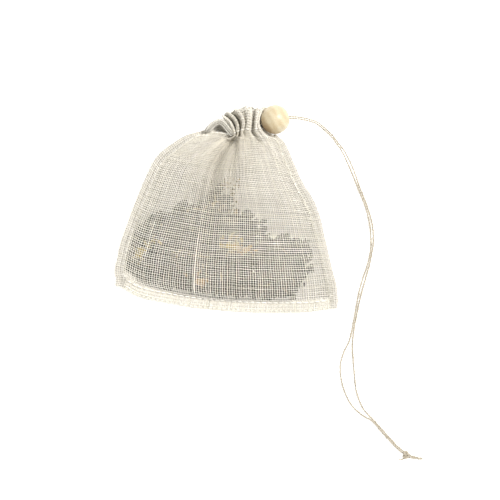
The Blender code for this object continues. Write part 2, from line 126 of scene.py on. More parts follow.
def lip_columns():
    """Base, foot of the wall, rim and curled edge for each column round the arch."""
    out = [((-17.5, 33.5, 1.2), (-17.3, 33.9, 1.4), (-17.0, 34.4, 1.8), (-16.8, 34.9, 2.4))]
    for k, (x, y) in enumerate(LIP):
        dx, dy = x - GAPE[0], y - GAPE[1]
        d = math.hypot(dx, dy)
        high = 4.6 + 2.2 * math.sin(math.pi * (k + 0.9) / 9.2)

        def spot(r, z):
            return (GAPE[0] + dx / d * r, GAPE[1] + dy / d * r, z)
        out.append((spot(0.45 * (d - 1.2), 0.6), spot(d - 0.85, 1.0), spot(d - 0.30, high),
                    spot(d + 0.65, high - 1.3)))
    return out


# ------------------------------------------------------------------ curves and grids
def through(points, t):
    """Catmull-Rom through rows of points, at places t from 0 to 1 by row number."""
    p = np.asarray(points, float)
    ends = np.concatenate([[2 * p[0] - p[1]], p, [2 * p[-1] - p[-2]]])
    x = np.clip(np.asarray(t, float), 0, 1) * (len(p) - 1)
    i = np.minimum(x.astype(int), len(p) - 2)
    f = (x - i).reshape((-1,) + (1,) * (p.ndim - 1))
    a, b, c, d = ends[i], ends[i + 1], ends[i + 2], ends[i + 3]
    return 0.5 * (2 * b + (c - a) * f + (2 * a - 5 * b + 4 * c - d) * f**2
                  + (3 * b - a - 3 * c + d) * f**3)


def even(points, n):
    """The same curve at n even steps along its length."""
    fine = through(points, np.linspace(0, 1, 40 * len(points)))
    s = np.concatenate([[0], np.cumsum(np.linalg.norm(np.diff(fine, axis=0), axis=1))])
    want = np.linspace(0, s[-1], n)
    return np.stack([np.interp(want, s, fine[:, k]) for k in range(fine.shape[1])], 1)


def smooth(x):
    x = np.clip(x, 0, 1)
    return x * x * (3 - 2 * x)


def wave_noise(shape, scale, seed, octaves=3):
    """Smooth seeded noise over a grid, about -1 to 1. scale is in cells."""
    rng = np.random.default_rng(seed)
    out, amp, total = np.zeros(shape), 1.0, 0.0
    for o in range(octaves):
        n = [max(3, int(s / scale * 2**o) + 3) for s in shape]
        coarse = rng.uniform(-1, 1, n)
        a = through(coarse, np.linspace(0, 1, shape[0]))
        a = through(a.T, np.linspace(0, 1, shape[1])).T
        out += amp * a
        total += amp
        amp *= 0.5
    return out / total


def grid_at(grid, x, y):
    """A grid of points read at fractional places, x over rows and y over columns."""
    x = np.clip(x, 0, grid.shape[0] - 1.001)
    y = np.clip(y, 0, grid.shape[1] - 1.001)
    i, j = x.astype(int), y.astype(int)
    f, g = (x - i)[..., None], (y - j)[..., None]
    return ((1 - f) * (1 - g) * grid[i, j] + f * (1 - g) * grid[i + 1, j]
            + (1 - f) * g * grid[i, j + 1] + f * g * grid[i + 1, j + 1])


def normals_of(grid):
    du = np.gradient(grid, axis=0)
    dv = np.gradient(grid, axis=1)
    n = np.cross(du, dv)
    return n / np.maximum(np.linalg.norm(n, axis=-1, keepdims=True), 1e-9)


SU, SV = NU + 1, NV + 1   # nodes of the draped grid, one a thread
U = np.linspace(0, 1, SU)
V = np.linspace(0, 1, SV)


def pleat_grid(columns, rows):
    """The gathered hem: rows from cinch line to mouth's edge, evened along the cloth."""
    c = np.array([through(col, np.linspace(0, 1, 4)) if len(col) == 3 else col
                  for col in columns])
    fine = through(c, np.linspace(0, 1, 24 * len(c)))
    step = np.linalg.norm(np.diff(fine, axis=0), axis=2).mean(1)
    s = np.concatenate([[0], np.cumsum(step)])
    want = np.linspace(0, s[-1], SU)
    cols = np.stack([[np.interp(want, s, fine[:, r, k]) for k in range(3)] for r in range(4)])
    cols = cols.transpose(2, 0, 1)                      # [u][row][xyz]
    return through(cols.transpose(1, 0, 2), np.linspace(0, 1, rows)).transpose(1, 0, 2)


def ridge(x, y, line, depth, width):
    """A fold along a line: depth and width run from its first point to its last."""
    pts = even(line, 60)
    d = np.hypot(x[..., None] - pts[:, 0], y[..., None] - pts[:, 1])
    k = d.argmin(-1)
    t = k / 59.0
    size = depth[0] + (depth[1] - depth[0]) * t
    sigma = width[0] + (width[1] - width[0]) * t
    return size * np.exp(-((d.min(-1) / sigma) ** 2))


def panel_grid(top_row, front):
    """Chamber panel from the bottom stitching (v=0) to the cinch line (v=1)."""
    left, right = even(LEFT, SV), even(RIGHT, SV)
    low = even(BOTTOM, SU)
    # the threads crowd together in the pleats, and are even again a little below them
    spread = even(top_row[:, :2], 4 * SU)
    order = np.linspace(0, 1, SU)
    spread = np.stack([np.interp(order, (spread[:, 0] - spread[0, 0])
                                 / (spread[-1, 0] - spread[0, 0]), spread[:, k])
                       for k in (0, 1)], 1)
    mix = np.exp(-(((1 - V) * FLAT_H / 13.0) ** 1.2))[None, :, None]
    high = spread[:, None] + (top_row[:, None, :2] - spread[:, None]) * mix
    u, v = U[:, None, None], V[None, :, None]
    corners = ((1 - u) * (1 - v) * low[0] + u * (1 - v) * low[-1]
               + (1 - u) * v * top_row[0, :2] + u * v * top_row[-1, :2])
    xy = ((1 - u) * left[None] + u * right[None] + (1 - v) * low[:, None]
          + v * high - corners)
    x, y = xy[..., 0], xy[..., 1]
    u, v = U[:, None], V[None, :]
    # the gathers ease out below the cinch line
    soft = top_row[:, 2].copy()
    for _ in range(60):
        soft[1:-1] = 0.25 * soft[:-2] + 0.5 * soft[1:-1] + 0.25 * soft[2:]
    down = (1 - v) * FLAT_H
    fine = (top_row[:, 2] - soft)[:, None] * np.exp(-((down / 6.5) ** 1.15))
    if front:
        rise = even([(0, 0), (0.05, 0.30), (0.13, 0.66), (0.28, 0.98), (0.42, 1.0),
                     (0.58, 0.86), (0.76, 0.66), (0.9, 0.56), (1.0, 0.5)], 161)
        across = np.clip(1 - np.abs(2 * u - 1) ** 2.3, 0, 1) ** 1.15
        body = PANEL_EDGE_Z + 0.25 + (FILL_H - 0.4) * np.interp(V, rise[:, 0], rise[:, 1]) * across
        z = body * (1 - smooth((v - 0.86) / 0.14)) + soft[:, None] * smooth((v - 0.86) / 0.14)
        z = z + fine
        z += 0.16 * wave_noise(z.shape, 14, 5) * np.minimum(1, down / 10 + 0.2)
    else:
        body = 0.32 + 0 * u * v
        z = body * (1 - smooth((v - 0.82) / 0.18)) + soft[:, None] * smooth((v - 0.82) / 0.18)
        z = np.maximum(z + fine, 0.30)
    return np.dstack([x, y, z])


def folds(x, y):
    """The soft folds that run down from the cinched neck, and the shoulder's own."""
    z = ridge(x, y, [(-5.2, 33.0), (-7.0, 30.6), (-10.0, 27.0), (-12.0, 22.4), (-12.6, 16.5),
                     (-12.6, 10.0)], (-5.4, -2.6), (1.5, 4.2))
    z += ridge(x, y, [(-2.8, 33.0), (-1.8, 29.0), (-1.0, 24.0), (0.4, 17.0), (1.6, 9.0)],
               (3.4, 4.0), (1.5, 4.8))
    z += ridge(x, y, [(3.0, 36.4), (4.4, 33.4), (5.8, 30.0), (8.0, 24.6)],
               (-2.6, -0.5), (1.5, 3.8))
    z += ridge(x, y, [(6.8, 36.2), (9.2, 31.5), (11.8, 25.8)], (0.8, 0.2), (1.4, 3.2))
    z += ridge(x, y, [(-16.0, 33.0), (-21.5, 25.0), (-25.0, 17.0)], (0.6, 0.1), (2.6, 4.5))
    z += ridge(x, y, [(-8.0, 32.0), (-14.0, 27.5), (-20.0, 21.0)], (0.9, 0.2), (1.3, 3.6))
    z += ridge(x, y, [(-10.0, 32.6), (-17.0, 29.4), (-24.0, 24.6)], (-0.6, -0.1), (1.1, 3.0))
    return z


def drape(grid, heap):
    """Lets the front panel settle on the herbs: cloth held along its seams and at the cinch
    line, resting on the heap inside."""
    nu, nv = grid.shape[:2]
    verts = (grid.reshape(-1, 3) * MM * 10)   # ten times life size, where Cloth behaves best
    idx = np.arange(nu * nv).reshape(nu, nv)
    faces = np.stack([idx[:-1, :-1], idx[1:, :-1], idx[1:, 1:], idx[:-1, 1:]], -1).reshape(-1, 4)
    mesh = bpy.data.meshes.new("drape_mesh")
    mesh.from_pydata(verts.tolist(), [], faces.tolist())
    obj = bpy.data.objects.new("drape_work", mesh)
    bpy.context.scene.collection.objects.link(obj)
    held = np.zeros((nu, nv), bool)
    held[0] = held[-1] = True
    held[:, 0] = True
    held[:, -4:] = True
    group = obj.vertex_groups.new(name="held")
    group.add([int(i) for i in idx[held]], 1.0, "REPLACE")
    base = bpy.data.meshes.new("heap_work")
    base.from_pydata((np.array(heap[0]) * MM * 10).tolist(), [], heap[1])
    bed = bpy.data.objects.new("heap_work", base)
    bpy.context.scene.collection.objects.link(bed)
    bed.modifiers.new("Collision", "COLLISION")
    bed.collision.thickness_outer = 0.004
    bed.collision.damping = 0.5
    cloth = obj.modifiers.new("Cloth", "CLOTH")
    s = cloth.settings
    s.quality = 6
    s.mass = 0.15
    s.tension_stiffness = s.compression_stiffness = 12
    s.shear_stiffness = 3
    s.bending_stiffness = 0.06
    s.air_damping = 3
    s.vertex_group_mass = "held"
    s.shrink_min = -0.012
    cloth.collision_settings.distance_min = 0.004
    cloth.collision_settings.use_self_collision = False
    last = 32
    cloth.point_cache.frame_start, cloth.point_cache.frame_end = 1, last
    scene = bpy.context.scene
    for f in range(1, last + 1):
        scene.frame_set(f)
    graph = bpy.context.evaluated_depsgraph_get()
    out = obj.evaluated_get(graph).to_mesh()
    co = np.empty(nu * nv * 3)
    out.vertices.foreach_get("co", co)
    obj.evaluated_get(graph).to_mesh_clear()
    scene.frame_set(1)
    co = co.reshape(nu, nv, 3) / (MM * 10)
    for o in (obj, bed):
        bpy.data.objects.remove(o, do_unlink=True)
    move = co - grid
    size = np.linalg.norm(move, axis=-1, keepdims=True)
    move *= np.minimum(1, 3.0 / np.maximum(size, 1e-6))
    print("drape: moved mean %.2f max %.2f mm" % (size.mean(), size.max()))
    return grid + move


# ------------------------------------------------------------------ meshes
def to_mesh(name, verts, quads, caps=(), tint=None, uv=None, mat=None):
    """A smooth-shaded mesh from rows of points in millimetres, quads and end caps."""
    verts = np.asarray(verts, float)
    quads = np.asarray(quads, np.int32).reshape(-1, 4)
    loops = np.concatenate([quads.ravel()] + [np.asarray(c, np.int32).ravel() for c in caps])
    sizes = np.concatenate([np.full(len(quads), 4, np.int32)]
                           + [np.full(len(c), np.shape(c)[1], np.int32) for c in caps])
    starts = np.concatenate([[0], np.cumsum(sizes)[:-1]]).astype(np.int32)
    mesh = bpy.data.meshes.new(name)
    mesh.vertices.add(len(verts))
    mesh.vertices.foreach_set("co", (verts * MM).astype(np.float32).ravel())
    mesh.loops.add(len(loops))
    mesh.loops.foreach_set("vertex_index", loops.astype(np.int32))
    mesh.polygons.add(len(sizes))
    mesh.polygons.foreach_set("loop_start", starts)
    mesh.polygons.foreach_set("loop_total", sizes)
    mesh.update(calc_edges=True)
    mesh.polygons.foreach_set("use_smooth", np.ones(len(sizes), bool))
    if tint is not None:
        layer = mesh.color_attributes.new("tint", "FLOAT_COLOR", "POINT")
        tint = np.asarray(tint, float)
        if tint.ndim == 1:
            tint = np.repeat(tint[:, None], 3, 1)
        layer.data.foreach_set(
            "color", np.hstack([tint, np.ones((len(tint), 1))]).astype(np.float32).ravel())
    if uv is not None:
        layer = mesh.uv_layers.new(name="OFBake")
        full = np.zeros((len(loops), 2), np.float32)
        full[:len(uv)] = uv
        layer.data.foreach_set("uv", full.ravel())
    obj = bpy.data.objects.new(name, mesh)
    bpy.context.scene.collection.objects.link(obj)
    if mat:
        mesh.materials.append(mat)
    return obj


class Tubes:
    """Many tubes for one mesh: each has its own tint, and its own strip for a baked picture."""

    def __init__(self, capped=True):
        self.parts, self.base, self.capped = [], 0, capped

    def add(self, line, normal, half_w, half_t, sides=4, tint=1.0, turn=0.0):
        line = np.asarray(line, float)
        n = len(line)
        t = np.gradient(line, axis=0)
        t /= np.maximum(np.linalg.norm(t, axis=1, keepdims=True), 1e-9)
        side = np.cross(normal, t)
        side /= np.maximum(np.linalg.norm(side, axis=1, keepdims=True), 1e-9)
        up = np.cross(t, side)
        a = np.linspace(0, 2 * math.pi, sides, endpoint=False) + turn
        w = np.broadcast_to(half_w, n)[:, None, None]
        h = np.broadcast_to(half_t, n)[:, None, None]
        ring = (line[:, None] + side[:, None] * w * np.cos(a)[None, :, None]
                + up[:, None] * h * np.sin(a)[None, :, None])
        idx = self.base + np.arange(n * sides).reshape(n, sides)
        nxt = np.roll(idx, -1, 1)
        quads = np.stack([idx[:-1], nxt[:-1], nxt[1:], idx[1:]], -1).reshape(-1, 4)
        caps = [idx[0, ::-1], idx[-1]] if self.capped else []
        tint = np.asarray(tint, float)
        if tint.ndim == 0:
            tint = np.full(3, float(tint))
        colour = np.broadcast_to(tint if tint.ndim == 2 else tint[None], (n, 3))
        self.parts.append((ring.reshape(-1, 3), quads, caps,
                           np.repeat(colour, sides, 0), n, sides))
        self.base += n * sides

    def build(self, name, mat):
        count = len(self.parts)
        across = max(1, int(math.sqrt(count / 2.0)))    # strips side by side, in stacks
        rows = math.ceil(count / across)
        uvs, caps = [], {}
        for k, (_, quads, cap, _, n, sides) in enumerate(self.parts):
            r = np.repeat(np.arange(n - 1), sides)
            s = np.tile(np.arange(sides), n - 1)
            # a strip's long way runs across the picture
            u0, v0 = (k % across) / across, (k // across) / rows
            su, sv = 1 / across, 1 / rows
            def place(rr, ss):
                return np.stack([u0 + su * (0.01 + 0.98 * rr / (n - 1)),
                                 v0 + sv * (0.12 + 0.76 * ss / sides)], -1)
            uvs.append(np.stack([place(r, s), place(r, s + 1), place(r + 1, s + 1),
                                 place(r + 1, s)], 1).reshape(-1, 2))
            for c in cap:
                caps.setdefault(sides, []).append((c, place(np.zeros(sides), np.arange(sides))))
        cap_faces, cap_uv = [], []
        for sides, rows_ in caps.items():
            cap_faces.append(np.array([c for c, _ in rows_]))
            cap_uv.append(np.concatenate([p for _, p in rows_]))
        return to_mesh(name, np.concatenate([p[0] for p in self.parts]),
                       np.concatenate([p[1] for p in self.parts]), cap_faces,
                       np.concatenate([p[3] for p in self.parts]),
                       np.concatenate(uvs + cap_uv), mat)


# ------------------------------------------------------------------ materials
def nodes_of(name):
    mat = bpy.data.materials.new(name)
    mat.use_nodes = True
    tree = mat.node_tree
    shader = tree.nodes["Principled BSDF"]
    return mat, tree, shader


def link(tree, a, out, b, into):
    tree.links.new(a.outputs[out], b.inputs[into])


def noise(tree, coords, scale, detail=3.0, rough=0.6, stretch=None):
    n = tree.nodes.new("ShaderNodeTexNoise")
    n.inputs["Scale"].default_value = scale
    n.inputs["Detail"].default_value = detail
    n.inputs["Roughness"].default_value = rough
    if stretch:
        m = tree.nodes.new("ShaderNodeMapping")
        m.inputs["Scale"].default_value = stretch
        link(tree, coords, "Object", m, "Vector")
        link(tree, m, "Vector", n, "Vector")
    else:
        link(tree, coords, "Object", n, "Vector")
    return n


def ramp(tree, source, out, stops):
    r = tree.nodes.new("ShaderNodeValToRGB")
    r.color_ramp.elements[0].position, r.color_ramp.elements[0].color = stops[0][0], (*stops[0][1], 1)
    r.color_ramp.elements[1].position, r.color_ramp.elements[1].color = stops[-1][0], (*stops[-1][1], 1)
    for place, colour in stops[1:-1]:
        e = r.color_ramp.elements.new(place)
        e.color = (*colour, 1)
    link(tree, source, out, r, "Fac")
    return r


def times(tree, a, a_out, b, b_out, factor=1.0):
    m = tree.nodes.new("ShaderNodeMix")
    m.data_type, m.blend_type = "RGBA", "MULTIPLY"
    m.inputs["Factor"].default_value = factor
    tree.links.new(a.outputs[a_out], m.inputs[6])
    tree.links.new(b.outputs[b_out], m.inputs[7])
    return m


def fibre(name, dark, light, roughness=0.85, sheen=0.3, fine=3200.0, bump=0.35, glow=0.0):
    """Spun yarn: uneven fibre colour, per-thread tint, fine hairy bump and a soft sheen."""
    mat, tree, shader = nodes_of(name)
    coords = tree.nodes.new("ShaderNodeTexCoord")
    big = noise(tree, coords, fine / 8, 2.0)
    small = noise(tree, coords, fine, 3.0, 0.65)
    body = ramp(tree, small, "Fac", [(0.25, dark), (0.72, light)])
    cloud = ramp(tree, big, "Fac", [(0.3, (0.9, 0.89, 0.87)), (0.7, (1.0, 1.0, 1.0))])
    mixed = times(tree, body, "Color", cloud, "Color")
    tint = tree.nodes.new("ShaderNodeVertexColor")
    tint.layer_name = "tint"
    mixed = times(tree, mixed, 2, tint, "Color")
    tree.links.new(mixed.outputs[2], shader.inputs["Base Color"])
    b = tree.nodes.new("ShaderNodeBump")
    b.inputs["Strength"].default_value = bump
    b.inputs["Distance"].default_value = 0.00008
    link(tree, small, "Fac", b, "Height")
    link(tree, b, "Normal", shader, "Normal")
    shader.inputs["Roughness"].default_value = roughness
    shader.inputs["Sheen Weight"].default_value = sheen
    shader.inputs["Sheen Roughness"].default_value = 0.5
    shader.inputs["Specular IOR Level"].default_value = 0.2
    return mat


def leaf_material(name, stops, fine=900.0, bump=0.6):
    mat, tree, shader = nodes_of(name)
    coords = tree.nodes.new("ShaderNodeTexCoord")
    spots = noise(tree, coords, fine, 4.0, 0.7)
    body = ramp(tree, spots, "Fac", stops)
    tint = tree.nodes.new("ShaderNodeVertexColor")
    tint.layer_name = "tint"
    mixed = times(tree, body, "Color", tint, "Color")
    tree.links.new(mixed.outputs[2], shader.inputs["Base Color"])
    veins = noise(tree, coords, fine * 2.2, 3.0, 0.6, (1.0, 3.0, 1.0))
    b = tree.nodes.new("ShaderNodeBump")
    b.inputs["Strength"].default_value = bump
    b.inputs["Distance"].default_value = 0.00015
    link(tree, veins, "Fac", b, "Height")
    link(tree, b, "Normal", shader, "Normal")
    shader.inputs["Roughness"].default_value = 0.9
    shader.inputs["Specular IOR Level"].default_value = 0.2
    return mat


def wood_material(name):
    """Pale close-grained wood, turned and waxed: faint growth bands, pores and flecks, with painted shade darkening
    its lower-left side.
    """
    mat, tree, shader = nodes_of(name)
    coords = tree.nodes.new("ShaderNodeTexCoord")
    turn = tree.nodes.new("ShaderNodeMapping")
    turn.inputs["Rotation"].default_value = (0.5, 0.35, 0.9)
    turn.inputs["Location"].default_value = (0.004, 0.011, -0.007)
    link(tree, coords, "Object", turn, "Vector")
    rings = tree.nodes.new("ShaderNodeTexWave")
    rings.wave_type, rings.rings_direction = "RINGS", "Z"
    rings.inputs["Scale"].default_value = 115.0
    rings.inputs["Distortion"].default_value = 2.4
    rings.inputs["Detail"].default_value = 2.0
    rings.inputs["Detail Scale"].default_value = 1.2
    link(tree, turn, "Vector", rings, "Vector")
    body = ramp(tree, rings, "Fac", [(0.0, (0.54, 0.470, 0.327)), (0.5, (0.583, 0.517, 0.370)),
                                     (1.0, (0.612, 0.556, 0.407))])
    stretch = tree.nodes.new("ShaderNodeMapping")
    stretch.inputs["Scale"].default_value = (1.0, 1.0, 0.12)
    link(tree, turn, "Vector", stretch, "Vector")
    pores = tree.nodes.new("ShaderNodeTexNoise")
    pores.inputs["Scale"].default_value = 2600.0
    pores.inputs["Detail"].default_value = 3.0
    link(tree, stretch, "Vector", pores, "Vector")
    fleck = ramp(tree, pores, "Fac", [(0.30, (0.86, 0.80, 0.70)), (0.52, (1.0, 1.0, 1.0))])
    mixed = times(tree, body, "Color", fleck, "Color", 0.8)
    warm = noise(tree, coords, 160.0, 2.0)
    patchy = ramp(tree, warm, "Fac", [(0.3, (1.0, 0.93, 0.84)), (0.65, (1.0, 1.0, 1.0))])
    mixed = times(tree, mixed, 2, patchy, "Color", 0.9)
    shade_direction = tree.nodes.new("ShaderNodeVectorMath")     # painted shade: darker towards the bead's lower-left side
    shade_direction.operation = "DOT_PRODUCT"
    shade_direction.inputs[1].default_value = (85.0, 60.0, 5.0)
    link(tree, coords, "Object", shade_direction, 0)
    half = tree.nodes.new("ShaderNodeMath")
    half.operation = "ADD"
    half.inputs[1].default_value = 0.62
    tree.links.new(shade_direction.outputs["Value"], half.inputs[0])
    # painted shade ramp: darkens the bead's lower-left side, next to the bag
    ends = ramp(tree, half, "Value", [(0.0, (0.34, 0.24, 0.15)), (0.10, (0.62, 0.50, 0.37)),
                                      (0.26, (0.95, 0.91, 0.85)), (0.45, (1.0, 1.0, 1.0)),
                                      (0.95, (1.0, 0.98, 0.95))])
    mixed = times(tree, mixed, 2, ends, "Color")
    tree.links.new(mixed.outputs[2], shader.inputs["Base Color"])
    b = tree.nodes.new("ShaderNodeBump")
    b.inputs["Strength"].default_value = 0.12
    b.inputs["Distance"].default_value = 0.00006
    link(tree, pores, "Fac", b, "Height")
    link(tree, b, "Normal", shader, "Normal")
    shader.inputs["Roughness"].default_value = 0.42
    shader.inputs["Coat Weight"].default_value = 0.12
    shader.inputs["Coat Roughness"].default_value = 0.25
    return mat


GAUZE = fibre("gauze_yarn", (0.82, 0.785, 0.70), (0.97, 0.95, 0.90))
# The seam allowances are the same gauze: the side seams' yarn is a darker copy, painted shade for plies lying between
# the panels; the bottom seam's yarn is a lighter copy, painted light against the thick seam's self-shadow.
SEAM_SHADED = fibre("seam_yarn_painted_shade", (0.56, 0.54, 0.49), (0.68, 0.665, 0.62))
SEAM_LOW_LIT = fibre("bottom_seam_yarn_painted_light", (0.88, 0.86, 0.79), (0.97, 0.96, 0.92))
THREAD = fibre("sewing_thread", (0.88, 0.86, 0.79), (0.97, 0.96, 0.92), fine=5200.0)
LINEN = fibre("linen_cord", (0.36, 0.315, 0.24), (0.63, 0.575, 0.47), fine=2600.0, bump=0.5)
WOOD = wood_material("turned_wood")
LEAF = leaf_material("dried_leaf", [(0.25, (0.014, 0.014, 0.011)), (0.5, (0.036, 0.037, 0.028)),
                                    (0.75, (0.085, 0.082, 0.066))])
YELLOW = leaf_material("yellow_petal", [(0.25, (0.24, 0.19, 0.06)), (0.7, (0.46, 0.38, 0.15))])
ORANGE = leaf_material("orange_petal", [(0.25, (0.25, 0.165, 0.08)), (0.7, (0.46, 0.335, 0.19))])
STALK = leaf_material("dried_stalk", [(0.25, (0.25, 0.20, 0.10)), (0.7, (0.52, 0.45, 0.28))])


def keep(obj, slot, *nodes, body="bag"):
    """A finished piece: it rides on its body and stands for its CAD nodes."""
    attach(obj, body)
    if nodes:
        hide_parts(*nodes)
    return obj


# ------------------------------------------------------------------ the cloth's shape
HERB_EDGE = [(-43.9, -26.6), (-44.4, -19.0), (-44.2, -11.9), (-41.0, -9.6), (-37.8, -5.4),
             (-33.1, -5.8), (-31.0, -1.8), (-27.6, -0.7), (-24.8, 1.9), (-19.8, 3.4),
             (-15.0, 6.0), (-11.9, 10.0), (-9.7, 11.9), (-7.2, 10.9), (-5.3, 8.2), (-2.3, 2.6),
             (5.7, 1.9), (8.6, 0.0), (11.6, -3.4), (15.7, -5.8), (20.9, -6.5), (25.9, -5.9),
             (29.9, -8.4), (31.4, -13.1), (31.4, -18.9), (29.6, -25.0), (26.6, -29.9),
             (16.3, -31.4), (6.2, -32.0), (-6.5, -32.6), (-16.1, -32.6), (-27.2, -31.5),
             (-38.3, -29.2)]


def inside(x, y, outline):
    """Whether points lie in a closed outline, and how far they are from its edge."""
    x, y = np.asarray(x, float), np.asarray(y, float)
    hit, near = np.zeros(x.shape, bool), np.full(x.shape, 1e9)
    p = np.array(outline)
    for (ax, ay), (bx, by) in zip(p, np.roll(p, -1, 0)):
        crosses = (ay > y) != (by > y)
        with np.errstate(divide="ignore", invalid="ignore"):
            at = ax + (y - ay) * (bx - ax) / (by - ay if by != ay else 1e-9)
        hit ^= crosses & (x < at)
        t = np.clip(((x - ax) * (bx - ax) + (y - ay) * (by - ay))
                    / ((bx - ax)**2 + (by - ay)**2), 0, 1)
        near = np.minimum(near, np.hypot(x - ax - t * (bx - ax), y - ay - t * (by - ay)))
    return hit, near


def herb_bumps(x, y):
    """What the leaves and stalks in the bag press up under the cloth."""
    rng = np.random.default_rng(7)
    out = np.zeros(x.shape)
    for _ in range(170):
        cx, cy = rng.uniform(-44, 35), rng.uniform(-35, 12)
        if not inside(cx, cy, HERB_EDGE)[0]:
            continue
        a, long, wide = rng.uniform(0, math.pi), rng.uniform(2.0, 5.5), rng.uniform(1.0, 2.4)
        dx, dy = x - cx, y - cy
        p, q = dx * math.cos(a) + dy * math.sin(a), dy * math.cos(a) - dx * math.sin(a)
        out = np.maximum(out, rng.uniform(0.25, 1.0) * np.exp(-(p / long)**2 - (q / wide)**2))
    return out


hem_front, hem_back = pleat_grid(FRONT_PLEATS, NH + 1), pleat_grid(lip_columns() + BACK_PLEATS, NH + 1)
front = panel_grid(hem_front[:, 0], True)
back = panel_grid(hem_back[:, 0], False)
press = herb_bumps(front[..., 0], front[..., 1])
bed = front.copy()
bed[..., 2] += 1.0 * press - 0.75
n = np.arange(SU * SV).reshape(SU, SV)
bed_faces = np.stack([n[:-1, :-1], n[1:, :-1], n[1:, 1:], n[:-1, 1:]], -1).reshape(-1, 4)
front = drape(front, (bed.reshape(-1, 3), bed_faces.tolist()))
relief = folds(front[..., 0], front[..., 1]) * smooth((1 - V) * 14)[None] * smooth(
    (1 - np.abs(2 * U - 1)) * 9)[:, None]
front[..., 2] = np.maximum(front[..., 2] + relief, 1.2)


def clear_of_bead(grid):
    """Cloth that is pressed against the bead lies round it, not in it."""
    a = math.radians(BEAD_ANGLE)
    centre = np.array([ARC_C[0] + ARC_R * math.cos(a), ARC_C[1] + ARC_R * math.sin(a), BEAD_Z])
    away = grid - centre
    d = np.linalg.norm(away, axis=-1, keepdims=True)
    near = BEAD_D / 2 + 0.55
    moved = np.where(d < near, centre + away * (near / np.maximum(d, 1e-6)), grid)
    moved[..., 2] = np.maximum(moved[..., 2], np.minimum(grid[..., 2], 0.5))
    print("clear_of_bead: moved %d points, most %.2f mm"
          % ((d < near).sum(), np.linalg.norm(moved - grid, axis=-1).max()))
    return moved


front, hem_front, hem_back = (clear_of_bead(g) for g in (front, hem_front, hem_back))


def doubled_hem(hem, side):
    """Outer ply, the fold at the mouth's edge, and the inner ply back to the stitching."""
    n = normals_of(hem) * side
    run = hem[:, -1] - hem[:, -2]
    run /= np.maximum(np.linalg.norm(run, axis=1, keepdims=True), 1e-9)
    fold = hem[:, -1] + 0.22 * run - 0.36 * n[:, -1]
    inner = [hem[:, k] - 0.80 * n[:, k] for k in range(NH - 1, 0, -1)]
    return np.stack([hem[:, k] for k in range(1, NH + 1)] + [fold] + inner, 1)


def widen(panel, hem, side, edge_z):
    """The whole cloth of one side: seam allowances outside the stitching, panel and hem."""
    lo, ro = even(LEFT_OUT, SV), even(RIGHT_OUT, SV)
    bo = even(BOTTOM_OUT, SU)
    main = np.concatenate([panel, doubled_hem(hem, side)], 1)
    nu, nv = SU + 2 * NF, NF + main.shape[1]
    g = np.full((nu, nv, 3), np.nan)
    g[NF:NF + SU, NF:] = main
    for k in range(1, NF + 1):
        t = k / NF
        for cols, edge, out in ((NF - k, panel[0], lo), (NF + SU - 1 + k, panel[-1], ro)):
            g[cols, NF:NF + SV, :2] = edge[:, :2] + t * (out - edge[:, :2])
            g[cols, NF:NF + SV, 2] = edge[:, 2] + smooth(t * 1.4) * (edge_z - edge[:, 2])
        g[NF:NF + SU, NF - k, :2] = panel[:, 0, :2] + t * (bo - panel[:, 0, :2])
        g[NF:NF + SU, NF - k, 2] = panel[:, 0, 2] + smooth(t * 1.4) * (edge_z - panel[:, 0, 2])
    for a in range(1, NF + 1):
        for b in range(1, NF + 1):
            for col, main_col in ((NF - a, NF), (NF + SU - 1 + a, NF + SU - 1)):
                corner = g[main_col, NF]
                p = g[col, NF] + g[main_col, NF - b] - corner
                g[col, NF - b] = corner + (p - corner) * (1 - 0.24 * a * b / NF**2)
                g[col, NF - b, 2] = edge_z
    for col, main_col, way in ((range(NF), NF, -1), (range(NF + SU, nu), NF + SU - 1, 1)):
        for c in col:
            g[c, NF + SV:] = g[main_col, NF + SV:] + [0.01 * way * abs(c - main_col), 0, 0]
    return g


def painted_fold_shade(p):
    """Painted shade along the middle fold: the yarn a little darker and browner."""
    d = ridge(p[:, 0], p[:, 1], [(-3.4, 36.0), (-6.0, 28.0), (-9.0, 20.0), (-9.5, 6.0)],
              (0.24, 0.14), (7.0, 10.5))
    return 1 - d[:, None] * np.array([0.9, 1.0, 1.2])


